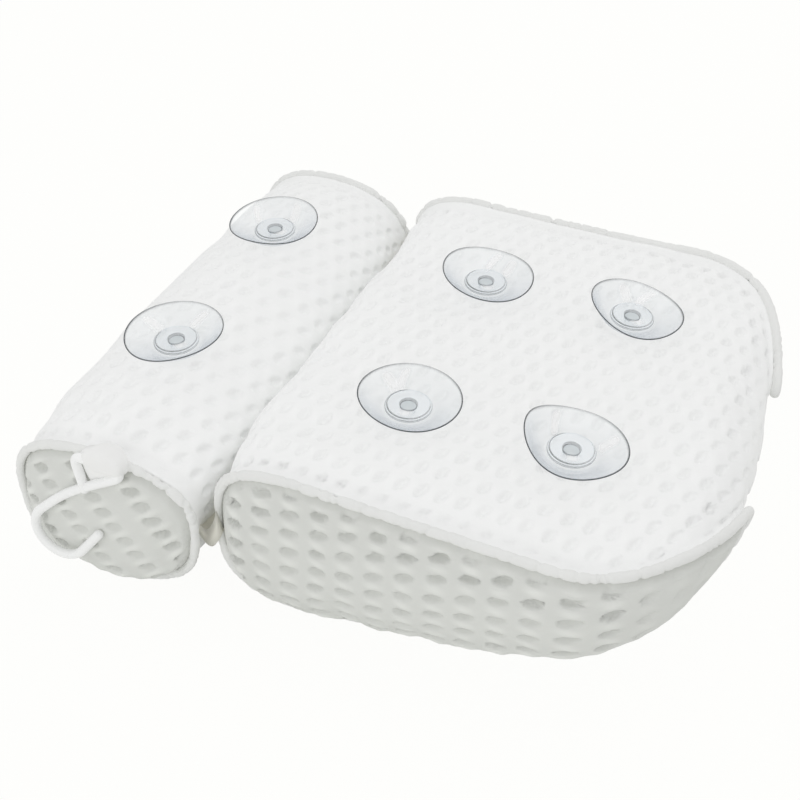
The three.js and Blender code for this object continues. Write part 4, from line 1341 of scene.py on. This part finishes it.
# Cups and rivets
def turned_piece(name, profile, shift, marks):
    """A turned piece from a closed profile of radius and height; a radius of 0 makes a pole."""
    points = []
    rings = []
    for radius, height in profile:
        first = len(points)
        if radius == 0:
            points.append((0.0, 0.0, height))
        else:
            points += [(radius * math.cos(a), radius * math.sin(a), height) for a in full_turn(TURN_SEGMENTS)]
        rings.append(list(range(first, len(points))))
    faces = []
    for ring, following in zip(rings, rings[1:] + rings[:1]):
        if len(ring) == 1 and len(following) == 1:
            continue
        if len(ring) == 1:
            faces += fan_faces(following, ring[0], False)
        elif len(following) == 1:
            faces += fan_faces(ring, following[0], True)
        else:
            for s in range(TURN_SEGMENTS):
                t = (s + 1) % TURN_SEGMENTS
                faces.append((ring[s], following[s], following[t], ring[t]))
    points = np.array(points)
    piece = new_piece(name, (shift(points), faces))
    radius = np.hypot(points[:, 0], points[:, 1])
    angle = np.arctan2(points[:, 1], points[:, 0])
    for mark, strength in marks.items():
        values = piece.data.attributes.new(mark, "FLOAT", "POINT")
        values.data.foreach_set("value", strength(radius, points[:, 2], angle).astype(np.float32))
    return piece


def rounded_profile(corners, steps=4):
    """Profile with each corner rounded; a corner is radius, height and size of the round."""
    profile = []
    for k, (radius, height, size) in enumerate(corners):
        if size == 0:
            profile.append((radius, height))
            continue
        here = np.array((radius, height))
        before = np.array(corners[k - 1][:2]) - here
        after = np.array(corners[(k + 1) % len(corners)][:2]) - here
        start = before / np.linalg.norm(before) * size
        finish = after / np.linalg.norm(after) * size
        for i in range(steps + 1):
            share = i / steps
            point = here + (1 - share) ** 2 * start + share**2 * finish
            profile.append((float(point[0]), float(point[1])))
    return profile


def finer(profile, step):
    """Profile with points added so that no two are farther apart than a step."""
    out = []
    for here, following in zip(profile, profile[1:] + profile[:1]):
        out.append(here)
        if here[0] == 0 and following[0] == 0:
            continue
        count = math.ceil(math.dist(here, following) / step)
        for i in range(1, count):
            share = i / count
            out.append(tuple(a + (b - a) * share for a, b in zip(here, following)))
    return out


def seated(points, number, share):
    """Points of a cup or rivet on their seat, tipped by a share of the cup's lean."""
    lean, way = (math.radians(angle) for angle in CUP_LEANS[number])
    tip = np.array(Matrix.Rotation(lean, 3, (math.cos(way), math.sin(way), 0.0)))
    return CUP_SEATS[number] + points + (points @ tip.T - points) * share


def angle_between(angle, degrees):
    """Signed angle from a direction given in degrees."""
    return (angle - math.radians(degrees) + math.pi) % (2 * math.pi) - math.pi


def make_cup(number, cups):
    """Clear bowl with a thick floor and a thin wavy rim."""
    deck = DISC_RADIUS + 0.6
    corners = [
        (CUP_BORE_RADIUS, CUP_FIT, 0.2),
        (CUP_FOOT_RADIUS, CUP_FIT, 0.6),
        (deck + 1.2, CUP_FIT + 1.2, 1.2),
        (*CUP_KNEE, 3.0),
        (CUP_RADIUS, CUP_HEIGHT - 0.55, 0.25),
        (CUP_RADIUS - 0.25, CUP_HEIGHT, 0.25),
        (*CUP_INNER_KNEE, 3.0),
        (deck + 0.4, CUP_DECK_Z, 1.0),
        (CUP_BORE_RADIUS, CUP_DECK_Z, 0.2),
    ]
    size, phase = CUP_WAVES[number]

    def shape(points):
        radius = np.hypot(points[:, 0], points[:, 1])
        turn = np.arctan2(points[:, 1], points[:, 0])
        reach = smooth_step((radius - deck) / (CUP_RADIUS - deck)) ** 1.3
        lift = np.cos(2 * angle_between(turn, phase)) + 0.4 * np.sin(3 * turn + 2.1 * number)
        points = points.copy()
        points[:, 2] += cups.wave / MM * size * reach * lift
        points[:, :2] *= 1 + CUP_OVAL * (reach * np.sin(2 * turn + 1.3 * number))[:, None]
        return seated(points, number, CUP_FOOT_LEAN + (1 - CUP_FOOT_LEAN) * reach[:, None])

    # Painted shade: a dark line painted round the rim where the clear plastic refracts, fainter on the far
    # side where light falls on it
    def rim(radius, height, angle):
        line = smooth_step((radius - CUP_RADIUS + 0.8) / 0.3) * (height > CUP_HEIGHT - 1.4)
        near = 1 - np.cos(angle_between(angle, CUP_FAR_SIDE))
        return line * (0.25 + 0.75 * np.minimum(1.0, 0.9 * near))

    # Painted highlight: pale streaks across the bowl that stand in for reflections
    def folds_and_painted_streaks(radius, height, angle):
        total = np.zeros_like(radius)
        span = smooth_step((radius - deck - 0.6) / 2.0) * smooth_step((HIGHLIGHT_END - radius) / 3.0)
        for k, degrees in enumerate(CUP_HIGHLIGHTS[number]):
            curl = (0.2 - 0.3 * k) * (radius - HIGHLIGHT_MIDDLE) / HIGHLIGHT_REACH
            off = (angle_between(angle, degrees) + curl) * radius
            total = np.maximum(total, (1 - 0.35 * k) * span * bell(off, HIGHLIGHT_WIDTH * (1 + 0.6 * k)))
        return total

    profile = finer(rounded_profile(corners), CUP_STEP)
    piece = turned_piece(f"suction_cup_{number}_bowl", profile, shape, {"edge": rim, "streak": folds_and_painted_streaks})
    film = shared_material(clear_plastic, "Clear soft plastic", cups.tint, FILM_HAZE, CUP_GAIN)
    piece.data.materials.append(film)
    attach(piece, f"cup_{number}")
    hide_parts(f"suction_cup_{number}")


def make_rivet(number, cups):
    """Clear stepped disc with a round recess, and its shank and head."""
    ledge_radius = DISC_RADIUS - DISC_STEP
    ledge_z = DISC_TOP_Z - DISC_STEP
    corners = [
        (0, RIVET_HEAD_FOOT_Z, 0),
        (RIVET_HEAD_RADIUS, RIVET_HEAD_FOOT_Z, 0.5),
        (RIVET_HEAD_RADIUS, RIVET_HEAD_TOP_Z, 0.3),
        (SHANK_RADIUS, RIVET_HEAD_TOP_Z, 0.2),
        (SHANK_RADIUS, DISC_FOOT_Z, 0.2),
        (DISC_RADIUS, DISC_FOOT_Z, 0.3),
        (DISC_RADIUS, ledge_z, 0.25),
        (ledge_radius, ledge_z, 0.15),
        (ledge_radius, DISC_TOP_Z, 0.35),
        (RECESS_RADIUS, DISC_TOP_Z, 0.3),
        (RECESS_RADIUS, RECESS_FLOOR_Z, 0.2),
        (0, RECESS_FLOOR_Z, 0),
    ]

    def shape(points):
        return seated(points, number, CUP_FOOT_LEAN)

    # Painted shade: dark lines painted on the disc's rim, step, foot and recess where the clear plastic
    # refracts, heaviest on the left and near sides
    def lines(radius, height, angle):
        left = 0.5 + 0.5 * np.cos(angle_between(angle, RIVET_LEFT))
        near = 0.5 - 0.5 * np.cos(angle_between(angle, CUP_FAR_SIDE))
        broken = smooth_step(4 * (0.75 + np.sin(angle_between(angle, 60 + 12 * number) / 2) ** 2 - 0.8))
        top = bell(radius - ledge_radius, 0.35) * (height > DISC_TOP_Z - 0.6)
        step = smooth_step((radius - DISC_RADIUS + 0.35) / 0.2) * (np.abs(height - ledge_z) < 0.3)
        low = (height < DISC_FOOT_Z + 0.35) & (height > 0)
        foot = smooth_step((radius - DISC_RADIUS + 0.5) / 0.25) * low
        ring = bell(radius - RECESS_RADIUS, 0.25) * (height > RECESS_FLOOR_Z - 0.1)
        total = np.maximum(top * broken * (0.55 + 0.45 * left), 0.55 * step * near)
        return np.maximum(np.maximum(total, 0.4 * foot * near), 0.45 * ring)

    def glints(radius, height, angle):
        off = angle_between(angle, 265 + 11 * number) * radius
        band = smooth_step((radius - RECESS_RADIUS - 0.6) / 0.6)
        band = band * smooth_step((DISC_RADIUS - 2.0 - radius) / 1.5)
        return 0.8 * band * bell(off, 3.0) * (height > DISC_TOP_Z - 0.6)

    profile = finer(rounded_profile(corners), RIVET_STEP)
    piece = turned_piece(f"cup_rivet_{number}_disc", profile, shape, {"edge": lines, "streak": glints})
    recess = (*cups.dot, 1.0)
    for name, haze, body in (("Clear hard plastic", FILM_HAZE, VEIL), ("Recess", RECESS_HAZE, recess)):
        film = shared_material(clear_plastic, name, cups.disc_tint, haze, RIVET_GAIN, body)
        piece.data.materials.append(film)
    seat = CUP_SEATS[number]
    for face in piece.data.polygons:
        middle = face.center / MM
        away = math.hypot(middle.x - seat[0], middle.y - seat[1])
        if away < RECESS_RADIUS - 0.1 and abs(middle.z - seat[2] - RECESS_FLOOR_Z) < 0.5:
            face.material_index = 1
    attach(piece, f"cup_{number}")
    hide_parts(f"cup_rivet_{number}")


# Hook and tab
def direction(angle):
    """Direction at an angle in the hook's plane."""
    return np.array((math.cos(angle), math.sin(angle)))


def arc_points(centre, radius, start, finish, steps):
    """Points along an arc."""
    turn = np.linspace(start, finish, steps + 1)
    return np.column_stack((centre[0] + radius * np.cos(turn), centre[1] + radius * np.sin(turn)))


def corner_points(corner, way_in, way_out, steps=14):
    """Points round the bend of a wire at a corner."""
    turn = math.acos(float(np.dot(way_in, way_out)))
    start = corner - CORNER_RADIUS * math.tan(turn / 2) * way_in
    centre = start + CORNER_RADIUS * np.array((-way_in[1], way_in[0]))
    first = math.atan2(start[1] - centre[1], start[0] - centre[0])
    return arc_points(centre, CORNER_RADIUS, first, first + turn, steps)


def hook_path():
    """Middle line of the hook's wire in its own plane: tip, bend, shank, bar and short leg."""
    right = np.array((BAR_HALF, 0.0))
    left = -right
    down = -direction(SHANK_ANGLE)
    bend_start = SHANK_ANGLE + math.pi / 2
    tip_angle = bend_start + BEND_TURN
    centre = right + SHANK_LENGTH * down - BEND_RADIUS * direction(bend_start)
    bend = arc_points(centre, BEND_RADIUS, tip_angle, bend_start, 48)
    tip_way = direction(tip_angle + math.pi / 2)
    tip = bend[0] + np.linspace(TIP_LENGTH, TIP_GAP, 8)[:, None] * tip_way
    join = right + EYE_DEPTH * down
    leg_way = (join - left) / np.linalg.norm(join - left)
    bar_way = np.array((-1.0, 0.0))
    first_corner = corner_points(right, -down, bar_way)
    second_corner = corner_points(left, bar_way, leg_way)
    share = np.linspace(0, 1, 40)[1:-1, None]
    bow = SHANK_BOW * np.sin(math.pi * (1 - share) ** SHANK_BOW_POWER) * direction(bend_start)
    shank = bend[-1] + share * (first_corner[0] - bend[-1]) + bow
    bar = first_corner[-1] + np.linspace(0, 1, 8)[1:-1, None] * (second_corner[0] - first_corner[-1])
    leg = second_corner[-1] + np.linspace(0, 1, 8)[1:, None] * (join - second_corner[-1])
    path = np.vstack((tip, bend, shank, first_corner, bar, second_corner, leg))
    run = run_along(path)
    path = laid_at(path, run, np.linspace(0, run[-1], int(run[-1] / WIRE_STEP)))
    for _ in range(WIRE_SMOOTHING):
        path[1:-1] = (path[:-2] + 2 * path[1:-1] + path[2:]) / 4
    return path


def bar_axis():
    """Direction of the hook's bar."""
    joint = next(joint for joint in frame["joints"] if joint["name"] == "hook_swing")
    return -np.array(joint["axis"], float)


def hook_places(flat, out):
    """Places of points in the hook's own plane, out from it, as it hangs on its bar."""
    axis = bar_axis()
    tilt = math.atan2(-axis[2], axis[0])
    sway = np.array(Matrix.Rotation(tilt, 3, "Y")) @ np.array(Matrix.Rotation(-HOOK_LEAN, 3, "X"))
    local = np.stack((flat[..., 0], out, flat[..., 1]), -1)
    return local @ sway.T + HOOK_BAR


def make_hook(hook):
    """Moulded wire hook with a closed eye."""
    radius = hook.radius / MM
    path = hook_path()
    way = np.gradient(path, axis=0)
    way /= np.linalg.norm(way, axis=1, keepdims=True)
    across = np.column_stack((-way[:, 1], way[:, 0]))
    turn = full_turn(WIRE_SIDES)
    rings = []
    for share in np.sin(np.linspace(0, math.pi / 2, 7))[1:-1]:
        rings.append((path[0] - way[0] * radius * math.sqrt(1 - share * share), across[0], radius * share))
    rings += [(middle, side, radius) for middle, side in zip(path, across)]
    flat = [middle + size * np.cos(turn)[:, None] * side for middle, side, size in rings]
    out = [size * np.sin(turn) for _, _, size in rings]
    flat = np.vstack(flat + [path[0] - way[0] * radius, path[-1]])
    points = hook_places(flat, np.concatenate(out + [np.zeros(2)]))
    piece = new_piece("hang_hook_wire", (points, tube_faces(len(rings), WIRE_SIDES)))
    piece.data.materials.append(shared_material(moulded_plastic, "Hook plastic", hook.colour, 0.22))
    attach(piece, "hook")
    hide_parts("hang_hook")


def beside_bar(bar, out, up):
    """Places along the hook's bar, out from it and up."""
    return HOOK_BAR + bar[..., None] * bar_axis() + np.stack((np.zeros_like(bar), -out, up), -1)


def tab_loop():
    """Soft loop round the hook's bar, higher towards its left."""
    a, t = np.meshgrid(np.linspace(-1, 1, 49), full_turn(64), indexing="ij")
    end = (1 - a * a) ** np.where(a > 0, 0.5, 0.75)
    reach_out = np.where(np.cos(t) > 0, TAB_FRONT, TAB_BACK * (0.8 + 0.2 * end))
    reach_up = np.where(np.sin(t) > 0, TAB_RISE * (1 - TAB_SKEW * a), TAB_DROP)
    fold = ripples(11.0 * a, 2.0 * t, 0.012, (7.0, 11.0, 16.0), 5)
    scale = (TAB_END + (1 - TAB_END) * end) * (1 + fold)
    bar = (TAB_FROM + TAB_TO) / 2 + (TAB_TO - TAB_FROM) / 2 * a
    points = beside_bar(bar, scale * reach_out * np.cos(t), scale * reach_up * np.sin(t))
    ends = (points[0].mean(0), points[-1].mean(0))
    return np.vstack((points.reshape(-1, 3), ends)), tube_faces(*a.shape)


def tab_skirt():
    """Part of the tab behind the hook's eye, that runs down over the end seam."""
    bar, share = np.meshgrid(np.linspace(SKIRT_FROM, SKIRT_TO, 40), np.linspace(0, 1, 24), indexing="ij")
    join_bar = BAR_HALF - EYE_DEPTH * math.cos(SHANK_ANGLE)
    join_drop = EYE_DEPTH * math.sin(SHANK_ANGLE)
    by_shank = join_drop * (BAR_HALF - bar) / (BAR_HALF - join_bar)
    by_leg = join_drop * (bar + BAR_HALF) / (join_bar + BAR_HALF)
    drop = np.maximum(1.0, np.minimum(by_shank, by_leg))
    inside = 1 - (2 * (bar - SKIRT_FROM) / (SKIRT_TO - SKIRT_FROM) - 1) ** 2
    top = SKIRT_TOP * np.sqrt(inside) - SKIRT_TOP_DROP
    up = top - (top + drop) * share
    swell = SKIRT_BULGE * np.sin(math.pi * share) * inside
    swell = swell + ripples(bar, 3.0 * share, 0.2, (7.0, 11.0, 17.0), 8)
    back = SKIRT_BACK * (SKIRT_BACK_END + (1 - SKIRT_BACK_END) * np.sqrt(inside))
    return slab(beside_bar(bar, SKIRT_FRONT + swell, up), beside_bar(bar, back, up))


def make_tab(seams):
    """Soft loop of tape that wraps the hook's bar and runs back over the end seam."""
    piece = new_piece("hook_tab_loop", tab_loop(), tab_skirt())
    piece.data.materials.append(woven_tape("Tab tape", seams.tab_colour))
    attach(piece, "neck_roll")
    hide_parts("hook_tab")


# Stage
def make_camera():
    """Camera at the photograph's viewing angle."""
    camera = bpy.data.objects.new("Camera", bpy.data.cameras.new("Camera"))
    camera.data.lens = CAMERA_LENS
    camera.data.sensor_width = CAMERA_SENSOR
    camera.data.clip_start = CAMERA_NEAREST
    bpy.context.scene.collection.objects.link(camera)
    turn = Matrix.Identity(4)
    turn.col[0].xyz = CAMERA_RIGHT
    turn.col[1].xyz = [-part for part in CAMERA_DOWN]
    turn.col[2].xyz = [-part for part in CAMERA_AHEAD]
    turn.col[3].xyz = CAMERA_PLACE
    camera.matrix_world = turn
    bpy.context.scene.camera = camera


def make_floor(stage):
    """Pale floor that shows white and keeps a soft shadow."""
    half = FLOOR_HALF
    corners = [(-half, -half, 0.0), (half, -half, 0.0), (half, half, 0.0), (-half, half, 0.0)]
    mesh = bpy.data.meshes.new("Floor")
    mesh.from_pydata(corners, [], [(0, 1, 2, 3)])
    floor = bpy.data.objects.new("Floor", mesh)
    bpy.context.scene.collection.objects.link(floor)
    material, tree, shader = new_material("Floor")
    feed(tree, shader, {"Base Color": (*stage.floor, 1.0), "Roughness": 0.9, "Specular IOR Level": 0.0})
    glow = made(tree, "ShaderNodeEmission", 0, {"Color": (*stage.backdrop, 1.0)})
    share = ray_of(tree, *SEEN_RAYS) * FLOOR_GLOW
    surface = surface_mix(tree, share, Value(tree, shader.outputs[0]), glow)
    feed(tree, tree.nodes["Material Output"], {"Surface": surface})
    mesh.materials.append(material)


def make_lamp(name, place, size, power):
    """Broad round lamp that points at the pillow."""
    lamp = bpy.data.lights.new(name, "AREA")
    lamp.shape = "DISK"
    lamp.size = size
    lamp.energy = power
    light = bpy.data.objects.new(name, lamp)
    light.location = place
    light.rotation_euler = Vector(place).to_track_quat("Z", "Y").to_euler()
    bpy.context.scene.collection.objects.link(light)


def make_light(stage):
    """Broad lamps above and in front, and an even glow all round."""
    make_lamp("Overhead", OVERHEAD_PLACE, OVERHEAD_SIZE, stage.key)
    make_lamp("Front", FRONT_PLACE, FRONT_SIZE, stage.front)
    world = bpy.data.worlds.new("Studio")
    bpy.context.scene.world = world
    world.use_nodes = True
    tree = world.node_tree
    around = tree.nodes["Background"]
    feed(tree, around, {"Color": (1.0, 1.0, 1.0, 1.0), "Strength": stage.fill})
    behind = made(tree, "ShaderNodeBackground", 0, {"Color": (*stage.backdrop, 1.0), "Strength": 1.0})
    surface = surface_mix(tree, ray_of(tree, *SEEN_RAYS), Value(tree, around.outputs[0]), behind)
    feed(tree, tree.nodes["World Output"], {"Surface": surface})


# Operators
class PILLOW_OT_stage(bpy.types.Operator):
    """Set up the camera, the floor and the light"""

    bl_idname = "pillow.stage"
    bl_label = "Stage"

    def execute(self, context):
        make_camera()
        make_floor(context.scene.pillow_stage)
        make_light(context.scene.pillow_stage)
        context.scene.view_settings.view_transform = "Standard"
        context.scene.cycles.transparent_max_bounces = CLEAR_LAYERS
        context.scene.cycles.diffuse_bounces = WHITE_BOUNCES
        return {"FINISHED"}


class PILLOW_OT_cushions(bpy.types.Operator):
    """Fill the roll and the pad, and make their sleeves and panels"""

    bl_idname = "pillow.cushions"
    bl_label = "Cushions"

    def execute(self, context):
        fabric = context.scene.pillow_fabric
        for cushion in (PAD, ROLL):
            filled_swell(cushion, fabric)
            make_sleeve(cushion, fabric)
            for way in (NEAR, FAR):
                make_panel(cushion, way, fabric, context.scene.pillow_seams)
        return {"FINISHED"}


class PILLOW_OT_seams(bpy.types.Operator):
    """Make the piping round the panels and the web in the fold"""

    bl_idname = "pillow.seams"
    bl_label = "Piping and web"

    def execute(self, context):
        seams = context.scene.pillow_seams
        for cushion in (PAD, ROLL):
            for way in (NEAR, FAR):
                make_piping(cushion, way, seams)
        make_web(seams)
        return {"FINISHED"}


class PILLOW_OT_cups(bpy.types.Operator):
    """Make the suction cups, their rivets and the finish of their washers"""

    bl_idname = "pillow.cups"
    bl_label = "Suction cups"

    def execute(self, context):
        cups = context.scene.pillow_cups
        for number in CUP_NUMBERS:
            make_cup(number, cups)
            make_rivet(number, cups)
            washer = frame["nodes"][f"backing_washer_{number}"]
            washer.data.materials.clear()
            finish = shared_material(moulded_plastic, "Washer plastic", WASHER_COLOUR, 0.4)
            washer.data.materials.append(finish)
        return {"FINISHED"}


class PILLOW_OT_hook(bpy.types.Operator):
    """Make the hook and the tab that holds it"""

    bl_idname = "pillow.hook"
    bl_label = "Hook and tab"

    def execute(self, context):
        make_hook(context.scene.pillow_hook)
        make_tab(context.scene.pillow_seams)
        return {"FINISHED"}


OPERATORS = (PILLOW_OT_stage, PILLOW_OT_cushions, PILLOW_OT_seams, PILLOW_OT_cups, PILLOW_OT_hook)


class PILLOW_PT_build(bpy.types.Panel):
    """Steps and sizes of the bath pillow"""

    bl_label = "Bath pillow"
    bl_idname = "PILLOW_PT_build"
    bl_space_type = "VIEW_3D"
    bl_region_type = "UI"
    bl_category = "Bath pillow"

    def draw(self, context):
        for operator in OPERATORS:
            self.layout.operator(operator.bl_idname)
        for name in SETTINGS:
            group = getattr(context.scene, name)
            box = self.layout.box()
            for key in group.__annotations__:
                box.prop(group, key)


CLASSES = (*SETTINGS.values(), *OPERATORS, PILLOW_PT_build)


def register():
    """Adds the settings, operators and panel."""
    for kind in CLASSES:
        bpy.utils.register_class(kind)
    for name, group in SETTINGS.items():
        setattr(bpy.types.Scene, name, PointerProperty(type=group))


def unregister():
    """Takes the settings, operators and panel away again."""
    for name in SETTINGS:
        delattr(bpy.types.Scene, name)
    for kind in reversed(CLASSES):
        bpy.utils.unregister_class(kind)


def main():
    """Builds the pillow step by step."""
    register()
    bpy.ops.pillow.stage()
    bpy.ops.pillow.cushions()
    bpy.ops.pillow.seams()
    bpy.ops.pillow.cups()
    bpy.ops.pillow.hook()


if __name__ == "__main__":
    main()
